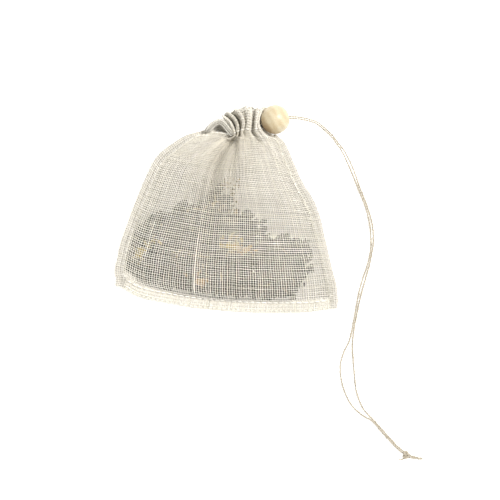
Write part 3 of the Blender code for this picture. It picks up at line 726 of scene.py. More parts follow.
def weave(grid, seed, warp_spans, weft_spans, amp, half_w, half_t, shift=(0.0, 0.0), rings=2,
          fray=0.35, loose=1.0, slubs=(), crowd=0.38, tone=1.0, fold_shade=False):
    """Plain weave along a grid: warp up the columns, weft across the rows, each thread
    over and under the others in turn, uneven as hand-loomed gauze is."""
    rng = np.random.default_rng(seed)
    normal = normals_of(grid)
    du = np.linalg.norm(np.gradient(grid, axis=0), axis=2)
    dv = np.linalg.norm(np.gradient(grid, axis=1), axis=2)
    warp, weft = Tubes(capped=False), Tubes()
    for kind, spans, out in (("warp", warp_spans, warp), ("weft", weft_spans, weft)):
        for k, (a, b) in spans:
            steps = max(2, int(round((b - a) * rings)))
            t = np.linspace(a, b, steps + 1)
            wander = np.interp(t, np.linspace(a - 1, b + 1, max(4, int((b - a) / 9))),
                               rng.normal(0, 0.05, max(4, int((b - a) / 9))))
            off = np.clip(rng.normal(0, 0.042) + wander, -0.2, 0.2) * loose
            flip = 1 if (k % 2) == 0 else -1
            wave = amp * flip * np.cos(math.pi * t)
            if kind == "warp":
                x, y = k + shift[0] + off, t + shift[1]
                pitch = grid_at(du[..., None], x, y)[:, 0]
            else:
                x, y = t + shift[0], k + shift[1] + off
                wave = -wave
                pitch = grid_at(dv[..., None], x, y)[:, 0]
            line = grid_at(grid, x, y)
            n = grid_at(normal, x, y)
            n /= np.maximum(np.linalg.norm(n, axis=1, keepdims=True), 1e-9)
            line = line + n * wave[:, None]
            thick = half_w * np.clip(rng.normal(1.0, 0.10), 0.75, 1.35)
            uneven = np.interp(t, np.linspace(a - 1, b + 1, max(4, int((b - a) / 3))),
                               rng.normal(0, 0.10, max(4, int((b - a) / 3))))
            shade = np.clip(rng.normal(1.0, 0.045), 0.86, 1.06)
            w = thick * (1 + uneven)
            if rng.random() < 0.30:          # a slub, where the yarn was spun thick
                at, span = rng.uniform(a, b), rng.uniform(2, 7)
                w *= 1 + 0.45 * np.exp(-((t - at) / span)**2)
            tint = np.full((len(t), 3), shade)
            for what, row, lo, hi, fat in slubs:
                if what == kind and row == k:
                    on = smooth((t - lo) / 4) * smooth((hi - t) / 4)
                    w = w * (1 + (fat - 1) * on)
                    tint = tint * (1 + 0.10 * on[:, None])
                    line = line + n * (0.16 * on[:, None])
            w = np.minimum(w, crowd * np.maximum(pitch, 0.25))
            if fray:
                for end, sign in ((0, -1), (-1, 1)):
                    way = line[end] - line[end - sign if end == 0 else -2]
                    way = way / max(np.linalg.norm(way), 1e-9)
                    line[end] = line[end] + way * rng.uniform(0, fray)
            warm = np.array([1.0, 1.0 - 0.012 * rng.random(), 1.0 - 0.05 * rng.random()])
            tint = tint * warm * tone
            # painted shade along the middle fold, on the front panel's yarn
            if fold_shade:
                tint = tint * painted_fold_shade(line)
            out.add(line, n, w, half_t * (0.85 + 0.15 * thick / half_w), tint=tint)
    return warp, weft


def spans(main_cols, total_cols, nf, sv, total_rows):
    """Where each thread of a cloth starts and stops, with its seam allowances."""
    warp = [(i, (0, sv + nf - 1 if (i < nf or i >= nf + main_cols) else total_rows - 1))
            for i in range(total_cols)]
    weft = [(j, (0, total_cols - 1) if j < nf + sv - 1 else (nf, nf + main_cols - 1))
            for j in range(total_rows)]
    return warp, weft


whole_front = widen(front, hem_front, 1, 0.86)
whole_back = widen(back, hem_back, -1, 0.34)
rows, cols = whole_front.shape[1], whole_front.shape[0]
warp_spans, weft_spans = spans(SU, cols, NF, SV, rows)


def column_at(x, y):
    d = np.hypot(front[..., 0] - x, front[..., 1] - y)
    return [int(k) + NF for k in np.unravel_index(d.argmin(), d.shape)]


c1, r1 = column_at(-15.0, -8.6)
c2, r2 = column_at(-23.5, -16.4)
c3, r3 = column_at(21.0, -15.0)
SLUBS = [("warp", c1, NF + 1, r1 + 2, 1.42), ("warp", c1 + 5, NF + 2, r1 - 10, 1.2),
         ("weft", r2, c2 - 11, c2 + 12, 1.2), ("warp", c3, NF + 4, r3 + 4, 1.4),
         ("warp", c3 - 14, NF + 6, r3 - 2, 1.25), ("weft", r2 + 13, c2 - 6, c2 + 9, 1.3),
         ("warp", c1 - 22, NF + 12, NF + 34, 1.3), ("weft", r3 - 8, c3 - 12, c3 + 5, 1.25)]
weft_panel, weft_hem = weft_spans[:NF + SV], weft_spans[NF + SV:]
# the front panel's yarn carries painted shade along the middle fold
warp, weft = weave(whole_front, 11, warp_spans, weft_panel, 0.118, 0.124, 0.124,
                   slubs=SLUBS, crowd=0.31, fold_shade=True)
front_warp, front_weft = warp.build("front_panel_warp", GAUZE), weft.build("front_panel_weft", GAUZE)
keep(front_warp, "gauze", "bag_front_panel")
keep(front_weft, "gauze")
_, weft = weave(whole_front, 13, [], weft_hem, 0.10, 0.26, 0.125, crowd=0.5, tone=0.85)
hem_front_weft = keep(weft.build("mouth_hem_front", GAUZE), "gauze", "mouth_casing")
# tone=0.71 darkens the back panel's yarn: painted shade, for the back lying in the front panel's shade
warp, weft = weave(whole_back, 12, warp_spans, weft_panel, 0.085, 0.160, 0.10, rings=1,
                   tone=0.71)
back_warp, back_weft = warp.build("back_panel_warp", GAUZE), weft.build("back_panel_weft", GAUZE)
keep(back_warp, "gauze", "bag_back_panel")
keep(back_weft, "gauze")
_, weft = weave(whole_back, 14, [], weft_hem, 0.10, 0.26, 0.125, crowd=0.5, tone=0.85)
hem_back_weft = keep(weft.build("mouth_hem_back", GAUZE), "gauze")


# ------------------------------------------------------------------ seams
def allowance(name, region, inner, slot, nodes, seed, lift, thread, mat):
    """The folded-in plies of a seam: closer threads between the two panels. Their cut edges,
    on the inner side, end unevenly a little inside the stitching."""
    pieces = Tubes()
    rng = np.random.default_rng(seed)
    for k, shift in enumerate((0.5, 0.0)):
        g = whole_front[region].copy()
        g[..., 2] += lift[k]
        nu, nv = g.shape[:2]
        cut = int(shift > 0)
        warp_set = [(i, (0, nv - 1 - cut)) for i in range(nu - cut)]
        weft_set = [(j, (0, nu - 1 - cut)) for j in range(nv - cut)]
        if inner == "left":
            warp_set = warp_set[:NF + 1]
            weft_set = [(j, (0, NF - 0.4 + 2.2 * rng.random()**2)) for j, _ in weft_set]
        elif inner == "right":
            warp_set = warp_set[-NF - 1:]
            weft_set = [(j, (2.4 - 2.2 * rng.random()**2, nu - 1 - cut)) for j, _ in weft_set]
        else:
            weft_set = weft_set[:NF + 1]
            warp_set = [(i, (0, NF - 0.4 + 1.2 * rng.random()**2)) for i, _ in warp_set]
        a, b = weave(g, seed + k, warp_set, weft_set, 0.05, thread, 0.09, (shift, shift),
                     rings=1, fray=0.15, crowd=0.5)
        for part in (a, b):
            for verts, quads, caps, tint, n, sides in part.parts:
                first = quads[0][0]
                caps = [np.arange(sides)[::-1] + first, np.arange(sides) + first + (n - 1) * sides]
                move = pieces.base - first
                pieces.parts.append((verts, quads + move, [c + move for c in caps], tint, n, sides))
                pieces.base += len(verts)
    obj = pieces.build(name, mat)
    return keep(obj, slot, *nodes)


allowance("side_seam_left_fold", np.s_[0:NF + 4, 0:NF + SV], "left", "gauze_seam",
                            ["side_seam_left"], 31, (-0.20, -0.34), 0.10, SEAM_SHADED)
allowance("side_seam_right_fold", np.s_[NF + SU - 4:cols, 0:NF + SV],
                            "right", "gauze_seam", ["side_seam_right"], 33, (-0.20, -0.34),
                            0.10, SEAM_SHADED)
allowance("bottom_seam_fold", np.s_[NF:NF + SU, 0:NF + 4], "low", "gauze_seam",
                            ["bottom_seam"], 35, (-0.20, -0.34), 0.22, SEAM_LOW_LIT)


def stitches(name, line, normal, length, gap, size, node, seed, tone=1.0):
    """A row of lock stitches: short rounded dashes that dip into the cloth at their ends."""
    rng = np.random.default_rng(seed)
    s = np.concatenate([[0], np.cumsum(np.linalg.norm(np.diff(line, axis=0), axis=1))])
    out, at = Tubes(), 0.4
    while at + length < s[-1]:
        long = length * rng.uniform(0.88, 1.1)
        t = np.linspace(at, at + long, 8)
        p = np.stack([np.interp(t, s, line[:, k]) for k in range(3)], 1)
        n = np.stack([np.interp(t, s, normal[:, k]) for k in range(3)], 1)
        arch = np.sin(np.linspace(0, math.pi, 8)) ** 0.5
        p = p + n * (0.30 * arch - 0.16)[:, None]
        w = size / 2 * (0.45 + 0.55 * arch)
        out.add(p, n, w, w, 8, tint=rng.uniform(0.94, 1.04) * tone)
        at += long + gap
    return keep(out.build(name, THREAD), "sewing_thread", node)


def seam_line(edge, out_edge, share, z):
    p = edge[:, :2] + share * (out_edge - edge[:, :2])
    return np.column_stack([p, np.full(len(p), z) if np.isscalar(z) else z])


UP = np.array([[0, 0, 1.0]])
left_z, right_z = front[0, :, 2], front[-1, :, 2]
for name, node, line, seed in (
        ("stitching_left_thread", "stitching_left",
         seam_line(front[0], even(LEFT_OUT, SV), 0.10, left_z - 0.02), 41),
        ("stitching_right_thread", "stitching_right",
         seam_line(front[-1], even(RIGHT_OUT, SV), 0.10, right_z - 0.02), 42),
        ("stitching_bottom_thread", "stitching_bottom",
         seam_line(front[:, 0], even(BOTTOM_OUT, SU), 0.10, front[:, 0, 2] + 0.26), 43)):
    low = "bottom" in node
    stitches(name, line, np.repeat(UP, len(line), 0), 2.2, 0.3 if low else 0.5,
             0.58 if low else 0.30, node, seed, 1.0 if low else 0.86)
hem_n = normals_of(hem_front)
casing_line = hem_front[:, 1] + hem_n[:, 1] * 0.12
stitches("stitching_casing_thread", casing_line, hem_n[:, 1], 1.8, 0.5, 0.36,
         "stitching_casing", 44)


# ------------------------------------------------------------------ cords
def twisted(name, line, diameter, mat, plies=2, pitch=2.3, sides=7, fray=0.0, seed=1, tint=1.0):
    """A laid cord: its plies wound round each other along the line."""
    rng = np.random.default_rng(seed)
    length = np.linalg.norm(np.diff(line, axis=0), axis=1).sum()
    n = max(8, int(length / pitch * 9))
    p = even(line, n) if len(line) != n else line
    t = np.gradient(p, axis=0)
    t /= np.linalg.norm(t, axis=1, keepdims=True)
    up = np.array([0, 0, 1.0])
    a = np.cross(up, t)
    a /= np.maximum(np.linalg.norm(a, axis=1, keepdims=True), 1e-9)
    b = np.cross(t, a)
    s = np.linspace(0, length, n)
    r = diameter * 0.25
    out = Tubes()
    for k in range(plies):
        drift = np.interp(s, np.linspace(0, length, max(3, int(length / 9))),
                          rng.normal(0, 0.5, max(3, int(length / 9))))
        phase = 2 * math.pi * (s / pitch + k / plies) + drift
        thick = r * (1.32 + 0.10 * np.interp(s, np.linspace(0, length, max(3, int(length / 3))),
                                             rng.normal(0, 1, max(3, int(length / 3)))).clip(-1.6, 2))
        line_k = p + (a * np.cos(phase)[:, None] + b * np.sin(phase)[:, None]) * r
        shade = np.interp(s, np.linspace(0, length, max(3, int(length / 5))),
                          rng.normal(1.0, 0.06, max(3, int(length / 5))))
        out.add(line_k, np.repeat([up], n, 0), thick, thick, sides,
                tint=np.repeat(shade[:, None], 3, 1) * tint)
    return out.build(name, mat)


ROUTE = [(30.8, 41.1), (34.3, 38.6), (36.9, 36.0), (40.2, 32.5), (44.4, 26.1), (48.0, 19.4), (52.3, 11.5), (55.0, 4.9),
         (56.4, -1.4), (56.7, -6.7), (56.1, -13.1), (54.9, -19.6), (53.9, -26.8),
         (53.2, -36.9), (52.9, -41.4)]
STRAND_A = [(53.5, -47.2), (54.6, -53.1), (55.7, -58.4), (57.0, -64.1), (59.0, -68.9),
            (61.6, -72.7)]
STRAND_B = [(51.9, -45.2), (50.2, -50.0), (49.5, -55.4), (50.7, -61.6), (53.2, -67.2),
            (56.3, -71.4), (60.6, -74.6)]
ENDS = [(65.4, -76.4), (69.2, -79.7), (73.2, -83.2), (76.6, -86.1),
        (KNOT_C[0] - 0.5, KNOT_C[1] + 0.45)]


def arc_point(s):
    a = math.radians(BEAD_ANGLE) - s / ARC_R
    return np.array([ARC_C[0] + ARC_R * math.cos(a), ARC_C[1] + ARC_R * math.sin(a)])


def cord_height(s):
    low = CORD_D / 2 + 0.09
    level = BEAD_Z - 0.55 * float(smooth((s - 6) / 18))
    return level + (low - level) * float(smooth((s - 20) / 34))


def strand_points(side, own):
    start = -(BEAD_D / 2 + 0.5)
    centre = [arc_point(s) for s in np.linspace(start, 17.5, 9)] + [np.array(p) for p in ROUTE]
    tails = [np.array(p) for p in ENDS]
    flat = []
    for group in (centre, tails):
        for i, p in enumerate(group):
            a, b = group[max(i - 1, 0)], group[min(i + 1, len(group) - 1)]
            d = (b - a) / np.linalg.norm(b - a)
            turn = math.radians(90) * (1 - float(smooth((i - 0.5) / 4))) if group is centre else 0
            gap = PAIR - 0.16 * min(1.0, i / 4) if group is centre else 0.74
            if group is centre and i > 11:       # the two strands drift apart and together
                gap += 0.42 * math.sin(0.85 * (i - 11)) ** 2
            flat.append((p + side * gap / 2 * math.cos(turn) * np.array([-d[1], d[0]]),
                         side * gap / 2 * math.sin(turn)))
        if group is centre:
            flat += [(np.array(p), 0.0) for p in own]
    s, points = start, []
    for i, (p, lift) in enumerate(flat):
        if i:
            s += float(np.linalg.norm(p - flat[i - 1][0]))
        points.append((p[0], p[1], cord_height(s) + lift))
    return points


kx, ky, kz = KNOT_C
low_z = CORD_D / 2 + 0.06
tail_a = twisted("cord_tail_a_frayed", np.array(
    [(kx + 1.3, ky - 0.55, low_z + 0.35), (kx + 2.2, ky - 0.85, low_z + 0.2),
     (kx + 3.4, ky - 0.95, low_z), (kx + 5.2, ky - 0.6, low_z), (kx + 6.5, ky - 0.72, low_z)]),
    CORD_D, LINEN, seed=71)
tail_b = twisted("cord_tail_b_frayed", np.array(
    [(kx - 0.8, ky - 1.3, low_z + 0.2), (kx - 1.7, ky - 2.1, low_z), (kx - 2.5, ky - 2.3, low_z)]),
    CORD_D, LINEN, seed=72)
keep(tail_a, "linen_cord", "cord_tail_a")
keep(tail_b, "linen_cord", "cord_tail_b")
rng = np.random.default_rng(73)
wisps = Tubes()
for _ in range(34):                      # the long end has come unlaid into loose fibres
    t = rng.uniform(0, 1)
    x0, y0 = kx + 1.3 + 3.9 * t, ky - 0.45 - 0.35 * t + rng.normal(0, 0.22)
    a, long = rng.normal(-0.05, 0.20), rng.uniform(1.2, 2.4)
    z0 = low_z + rng.uniform(-0.1, 0.35)
    path = [(x0, y0, z0), (x0 + 0.5 * long * math.cos(a), y0 + 0.5 * long * math.sin(a), z0),
            (x0 + long * math.cos(a), y0 + long * math.sin(a) + rng.normal(0, 0.12), low_z)]
    wisps.add(even(path, 7), np.repeat(UP, 7, 0), np.linspace(0.12, 0.05, 7),
              np.linspace(0.12, 0.05, 7), 5, tint=rng.uniform(0.85, 1.15))
for x0, y0, way, count in ((kx + 5.9, ky - 0.70, 0.0, 11), (kx - 2.2, ky - 2.2, math.pi * 1.06, 7)):
    for _ in range(count):
        a = way + rng.normal(0, 0.33)
        long = rng.uniform(0.8, 1.7)
        mid = np.array([x0 + 0.45 * long * math.cos(a), y0 + 0.45 * long * math.sin(a),
                        low_z + rng.uniform(-0.15, 0.2)])
        a += rng.normal(0, 0.25)
        tip = mid + 0.6 * long * np.array([math.cos(a), math.sin(a), 0])
        tip[2] = low_z + rng.uniform(-0.25, 0.25)
        wisps.add(even([(x0, y0, low_z), tuple(mid), tuple(tip)], 7),
                  np.repeat(UP, 7, 0), np.linspace(0.09, 0.03, 7), np.linspace(0.09, 0.03, 7), 5,
                  tint=rng.uniform(0.85, 1.2))
tail_wisps = keep(wisps.build("cord_tail_wisps", LINEN), "linen_cord")


def knot_loop(t, centre, size, turn):
    x, y, z = (np.sin(t) + 2 * np.sin(2 * t), np.cos(t) - 2 * np.cos(2 * t), -np.sin(3 * t))
    x, y, z = x * size[0], y * size[1], z * size[2]
    c, s = math.cos(turn), math.sin(turn)
    return np.stack([centre[0] + x * c - y * s, centre[1] + x * s + y * c, centre[2] + z], 1)


turns = np.linspace(0, 2 * math.pi, 97)[:-1]
knot = Tubes()
for k, (offset, shade) in enumerate((((-0.17, -0.12), 1.0), ((0.17, 0.12), 0.93))):
    p = knot_loop(turns, (kx + offset[0], ky + offset[1], kz), (0.58, 0.44, 0.52),
                  math.radians(-40))
    p = np.vstack([p, p[:3]])
    s = np.linspace(0, 1, len(p))
    for j in (0, 1):
        phase = 2 * math.pi * (s * 9 + j / 2)
        q = p + 0.13 * np.stack([np.cos(phase), np.sin(phase), np.sin(phase + 1)], 1)
        q[:, 2] = np.maximum(q[:, 2], 0.22)
        knot.add(q, np.repeat(UP, len(q), 0), 0.21, 0.21, 7, tint=shade)
end_knot = keep(knot.build("end_knot_tied", LINEN), "linen_cord", "end_knot")

def fuzz(line, seed, hairs, per_mm=2.6, clear=28.0):
    """Short loose fibres along a laid cord, none where the bead can slide."""
    rng = np.random.default_rng(seed)
    s = np.concatenate([[0], np.cumsum(np.linalg.norm(np.diff(line, axis=0), axis=1))])
    tangent = np.gradient(line, axis=0)
    tangent /= np.linalg.norm(tangent, axis=1, keepdims=True)
    for at in np.sort(rng.uniform(clear, s[-1] - 1.0, int((s[-1] - clear) * per_mm))):
        i = int(np.searchsorted(s, at))
        t = tangent[i] * rng.choice((-1.0, 1.0))
        a = np.cross([0, 0, 1.0], t)
        a /= np.linalg.norm(a)
        turn = rng.uniform(0, 2 * math.pi)
        out = a * math.cos(turn) + np.array([0, 0, math.sin(turn)])
        long, lean = rng.uniform(0.8, 1.9), rng.uniform(0.18, 0.55)
        p = line[i] + out * 0.22
        path = np.array([p, p + 0.5 * long * (t + 0.5 * lean * out),
                         p + long * (0.96 * t + lean * out)])
        path[:, 2] = np.maximum(path[:, 2], 0.08)
        hairs.add(even([tuple(q) for q in path], 5), np.repeat(UP, 5, 0),
                  np.linspace(0.055, 0.03, 5), np.linspace(0.055, 0.03, 5), 4,
                  tint=rng.uniform(0.85, 1.15))


loose = Tubes()
for side, own, seed in ((1, STRAND_A, 64), (-1, STRAND_B, 65)):
    fuzz(even(strand_points(side, own), 700), seed, loose)
cord_fuzz = keep(loose.build("cord_loose_fibres", LINEN), "linen_cord")
for name, side, own, seed in (("drawstring_strand_a_laid", 1, STRAND_A, 61),
                              ("drawstring_strand_b_laid", -1, STRAND_B, 62)):
    line = even(strand_points(side, own), 700)
    obj = twisted(name, line, CORD_D, LINEN, seed=seed)
    keep(obj, "linen_cord", name.replace("_laid", ""))
    path = line * MM

# The drawstring lies in the channel, between the plies of the hem, round both sides
tip = arc_point(-(BEAD_D / 2 + 0.8))
n_front, n_back = normals_of(hem_front), normals_of(hem_back)
row = 5
loop = np.concatenate([
    [(tip[0], tip[1], BEAD_Z + PAIR / 2)],
    (hem_front[:, row] - 0.40 * n_front[:, row])[::-3],
    (hem_back[:, row] + 0.40 * n_back[:, row])[::3],
    [(tip[0], tip[1], BEAD_Z - PAIR / 2)]])
loop[:, 2] = np.maximum(loop[:, 2], 0.6)
keep(twisted("drawstring_in_casing_laid", loop, CORD_D, LINEN, seed=63), "linen_cord",
     "drawstring_in_casing")


# ------------------------------------------------------------------ bead
def turned_bead():
    bm = bmesh.new()
    bore, r = BEAD_BORE / 2, BEAD_D / 2
    edge = math.asin(bore / r)
    profile = [(r * math.cos(a), r * math.sin(a)) for a in
               np.linspace(edge + 0.055, math.pi - edge - 0.055, 56)]
    end = r * math.cos(edge)
    lip = [(-end + 0.04, bore + 0.30), (-end + 0.16, bore + 0.07), (-end + 0.40, bore)]
    bore_line = [(x, bore) for x in np.linspace(-end + 0.9, end - 0.9, 8)]
    closed = profile + lip + bore_line + [(-x, y) for x, y in reversed(lip)]
    steps, rings = 96, []
    rng = np.random.default_rng(5)
    for k in range(steps):
        a = 2 * math.pi * k / steps
        rings.append([bm.verts.new((x * MM, y * math.cos(a) * MM, y * math.sin(a) * MM))
                      for x, y in closed])
    for k in range(steps):
        one, two = rings[k], rings[(k + 1) % steps]
        for i in range(len(closed)):
            j = (i + 1) % len(closed)
            bm.faces.new((one[i], one[j], two[j], two[i]))
    bmesh.ops.recalc_face_normals(bm, faces=bm.faces)
    mesh = bpy.data.meshes.new("bead_turned")
    bm.to_mesh(mesh)
    bm.free()
    mesh.polygons.foreach_set("use_smooth", np.ones(len(mesh.polygons), bool))
    mesh.materials.append(WOOD)
    obj = bpy.data.objects.new("bead_turned", mesh)
    bpy.context.scene.collection.objects.link(obj)
    c = arc_point(0)
    way = arc_point(0.05) - arc_point(-0.05)
    obj.location = (c[0] * MM, c[1] * MM, BEAD_Z * MM)
    obj.rotation_euler = (0, 0, math.atan2(way[1], way[0]))
    bpy.context.view_layer.update()
    return keep(obj, "bead_wood", "bead", body="bead")


turned_bead()


# ------------------------------------------------------------------ herbs
n = np.arange(SU * SV).reshape(SU, SV)
under_cloth = BVHTree.FromPolygons(
    [tuple(p) for p in front.reshape(-1, 3)],
    np.stack([n[:-1, :-1], n[1:, :-1], n[1:, 1:], n[:-1, 1:]], -1).reshape(-1, 4).tolist())


def cloth_z(x, y):
    """Height of the front cloth over points on the plan; low where there is none."""
    out = np.full(np.shape(x), 0.9)
    for k, (a, b) in enumerate(zip(np.ravel(x), np.ravel(y))):
        hit = under_cloth.ray_cast(Vector((a, b, 60.0)), Vector((0, 0, -1.0)))
        if hit[0] is not None:
            out.flat[k] = hit[0][2]
    return out


def heap(name, box, node, seed):
    """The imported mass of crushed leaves: a rough closed lump under the cloth."""
    x0, x1, y0, y1 = box
    step = 0.8
    xs, ys = np.arange(x0, x1 + step / 2, step), np.arange(y0, y1 + step / 2, step)
    x, y = np.meshgrid(xs, ys, indexing="ij")
    x = x + 0.22 * wave_noise(x.shape, 2, seed + 1, 2)
    y = y + 0.22 * wave_noise(x.shape, 2, seed + 2, 2)
    hit, near = inside(x, y, HERB_EDGE)
    deep = np.where(hit, near, -near)
    deep = deep + np.where(y > -24, 1.3, 0.35) * wave_noise(x.shape, 2, seed + 5, 3)
    hit, deep = deep > 0, np.maximum(deep, 0)
    roof = cloth_z(x, y)
    top = roof - 1.25 + 0.55 * np.minimum(0, wave_noise(x.shape, 2.5, seed, 3) - 0.1) * 2
    z = 0.9 + (np.maximum(top, 1.3) - 0.9) * smooth(deep / 1.4) ** 0.5
    z = np.maximum(np.minimum(z, roof - 0.4), 0.9)
    ok = hit[:-1, :-1] & hit[1:, :-1] & hit[1:, 1:] & hit[:-1, 1:]
    bm = bmesh.new()
    top_v, low_v = {}, {}
    shape = x.shape

    def vert(store, i, j, height):
        if (i, j) not in store:
            store[(i, j)] = bm.verts.new((x[i, j] * MM, y[i, j] * MM, height * MM))
        return store[(i, j)]

    for i, j in zip(*np.nonzero(ok)):
        corners = [(i, j), (i + 1, j), (i + 1, j + 1), (i, j + 1)]
        bm.faces.new([vert(top_v, a, b, z[a, b]) for a, b in corners])
        bm.faces.new([vert(low_v, a, b, 0.85) for a, b in reversed(corners)])
        for (a, b), (c, d), (ni, nj) in zip(corners, corners[1:] + corners[:1],
                                            [(i, j - 1), (i + 1, j), (i, j + 1), (i - 1, j)]):
            out = not (0 <= ni < ok.shape[0] and 0 <= nj < ok.shape[1]) or not ok[ni, nj]
            if out:
                bm.faces.new((vert(low_v, a, b, 0.85), vert(low_v, c, d, 0.85),
                              vert(top_v, c, d, z[c, d]), vert(top_v, a, b, z[a, b])))
    bmesh.ops.recalc_face_normals(bm, faces=bm.faces)
    mesh = bpy.data.meshes.new(name)
    bm.to_mesh(mesh)
    bm.free()
    rng = np.random.default_rng(seed)
    count = len(mesh.vertices)
    layer = mesh.color_attributes.new("tint", "FLOAT_COLOR", "POINT")
    co = np.empty(count * 3)
    mesh.vertices.foreach_get("co", co)
    co = co.reshape(-1, 3) / MM
    patch = (np.sin(co[:, 0] * 1.3 + 1.7 * np.sin(co[:, 1] * 0.9)) * np.sin(co[:, 1] * 1.1 + seed))
    colour = np.stack([0.85 + 0.20 * patch, 0.85 + 0.10 * patch, 0.85 - 0.05 * patch,
                       np.ones(count)], 1)
    layer.data.foreach_set("color", colour.astype(np.float32).ravel())
    mesh.materials.append(LEAF)
    obj = bpy.data.objects.new(name, mesh)
    bpy.context.scene.collection.objects.link(obj)
    return keep(obj, "dried_leaf", node)


heap("crushed_leaf_left", (-45, -17.2, -36, 4.2), "leaf_heap_left", 51)
heap("crushed_leaf_middle", (-16.8, 9.2, -36, 1.8), "leaf_heap_middle", 52)
heap("crushed_leaf_right", (9.6, 36, -36, 3.5), "leaf_heap_right", 53)
heap("crushed_leaf_top", (-16.8, 9.2, 2.2, 14), "leaf_heap_top", 54)


def flakes(name, spots, size, mat, slot, nodes, seed, tints, depth=(0.45, 1.2), curl=0.5,
           slim=(0.35, 0.8)):
    """Broken, curled scraps of leaf or petal, each a thin closed shell."""
    rng = np.random.default_rng(seed)
    nu, nv = 5, 4
    u, v = np.meshgrid(np.linspace(-1, 1, nu), np.linspace(-1, 1, nv), indexing="ij")
    verts, quads, tint = [], [], []
    idx = np.arange(nu * nv).reshape(nu, nv)
    top = np.stack([idx[:-1, :-1], idx[1:, :-1], idx[1:, 1:], idx[:-1, 1:]], -1).reshape(-1, 4)
    rim = np.concatenate([idx[:, 0], idx[-1, 1:], idx[-2::-1, -1], idx[0, -2:0:-1]])
    low = top[:, ::-1] + nu * nv
    wall = np.stack([rim, rim + nu * nv, np.roll(rim, -1) + nu * nv, np.roll(rim, -1)], -1)
    shell = np.concatenate([top, low, wall])
    for k, (cx, cy) in enumerate(spots):
        long = rng.uniform(*size)
        wide = long * rng.uniform(*slim)
        shape = np.sqrt(np.clip(1 - 0.62 * np.abs(u)**rng.uniform(1.2, 2.6), 0.05, 1))
        x = long * (u + 0.10 * rng.normal(size=u.shape))
        y = wide * (v * shape + 0.12 * rng.normal(size=u.shape))
        z = (curl * rng.uniform(-1, 1.2) * wide * (v**2 - 0.4)
             + curl * rng.uniform(-0.7, 0.7) * long * (u**2 - 0.4) * 0.6
             + 0.10 * rng.normal(size=u.shape))
        a, tilt = rng.uniform(0, 2 * math.pi), rng.normal(0, 0.22)
        z = z + x * math.tan(tilt)
        px = cx + x * math.cos(a) - y * math.sin(a)
        py = cy + x * math.sin(a) + y * math.cos(a)
        roof = cloth_z(px, py)
        middle = roof.mean() - rng.uniform(*depth)
        pz = np.clip(middle + z, 1.0, roof - 0.42)
        skin = 0.11
        verts.append(np.concatenate([np.stack([px, py, pz], -1).reshape(-1, 3),
                                     np.stack([px, py, np.maximum(pz - skin, 0.85)],
                                              -1).reshape(-1, 3)]))
        quads.append(shell + k * 2 * nu * nv)
        colour = np.array(tints[rng.integers(len(tints))]) * rng.uniform(0.8, 1.2)
        tint.append(np.repeat(colour[None], 2 * nu * nv, 0))
    obj = to_mesh(name, np.concatenate(verts), np.concatenate(quads), (),
                  np.concatenate(tint), None, mat)
    obj.data.polygons.foreach_set("use_smooth", np.zeros(len(obj.data.polygons), bool))
    return keep(obj, slot, *nodes)


def spots_in(box, count, seed, margin=0.6):
    rng = np.random.default_rng(seed)
    out = []
    while len(out) < count:
        x, y = rng.uniform(box[0], box[1]), rng.uniform(box[2], box[3])
        hit, near = inside(x, y, HERB_EDGE)
        if cloth_z(x, y) < 2.4:
            continue
        if (hit and near > margin * rng.random()
                or margin < 1 and y > -24 and x > -36 and near < 2.4 * rng.random()**2):
            out.append((x, y))
    return out


LEAF_TINTS = [(1.0, 1.0, 1.0), (1.25, 1.30, 1.05), (0.75, 0.72, 0.75), (1.1, 0.95, 1.05),
              (1.5, 1.45, 1.3), (0.9, 1.05, 0.95), (0.62, 0.60, 0.62), (1.35, 1.1, 0.9)]
flakes("leaf_flakes_left", spots_in((-45, -17.0, -36, 4.5), 250, 81), (0.9, 2.3), LEAF, "dried_leaf",
       ["leaf_flake_left"], 82, LEAF_TINTS)
flakes("leaf_flakes_middle", spots_in((-17.0, 9.4, -36, 13.5), 300, 83), (0.9, 2.3), LEAF,
       "dried_leaf", ["leaf_flake_middle"], 84, LEAF_TINTS)
flakes("leaf_flakes_right", spots_in((9.4, 35, -36, 3.0), 250, 85), (0.9, 2.3), LEAF, "dried_leaf",
       ["leaf_flake_right"], 86, LEAF_TINTS)

PETAL_TINTS = [(1.0, 1.0, 1.0), (1.1, 1.05, 0.9), (0.9, 0.88, 0.8)]


def cluster(centre, count, reach, seed):
    rng = np.random.default_rng(seed)
    return [(centre[0] + rng.normal(0, reach), centre[1] + rng.normal(0, reach * 0.8))
            for _ in range(count)]


for name, centre, count, reach, node, mat, slot, seed in (
        ("yellow_petals_left", (-38.3, -19.7), 9, 1.6, "petal_yellow_left", YELLOW,
         "yellow_petal", 91),
        ("yellow_petals_upper", (-31.6, -13.2), 8, 1.9, "petal_yellow_upper", YELLOW,
         "yellow_petal", 92),
        ("yellow_petals_middle", (-2.0, -10.2), 14, 2.8, "petal_yellow_middle", YELLOW,
         "yellow_petal", 93),
        ("orange_petals_middle", (4.2, -12.0), 11, 2.3, "petal_orange_middle", ORANGE,
         "orange_petal", 94),
        ("orange_petals_low", (-13.2, -27.0), 11, 1.9, "petal_orange_low", ORANGE,
         "orange_petal", 95)):
    flakes(name, cluster(centre, count, reach, seed), (0.9, 1.7), mat, slot, [node], seed,
           PETAL_TINTS, depth=(0.35, 0.9), curl=0.35, slim=(0.4, 0.75))

# A little dust and broken leaf has worked its way up the fold under the neck; these darker flakes also stand in for
# part of the fold's shade, as painted shade.
rng = np.random.default_rng(96)
dust = [(rng.normal(-5.0 + 0.25 * (12 - v), 3.2), v) for v in rng.uniform(2, 16, 70)]
flakes("leaf_dust_and_fold_shade", dust, (0.35, 0.8), STALK, "dried_stalk", [], 99,
       [(0.9, 0.85, 0.8), (0.6, 0.55, 0.5), (0.4, 0.42, 0.36)], depth=(0.6, 1.8), curl=0.3)

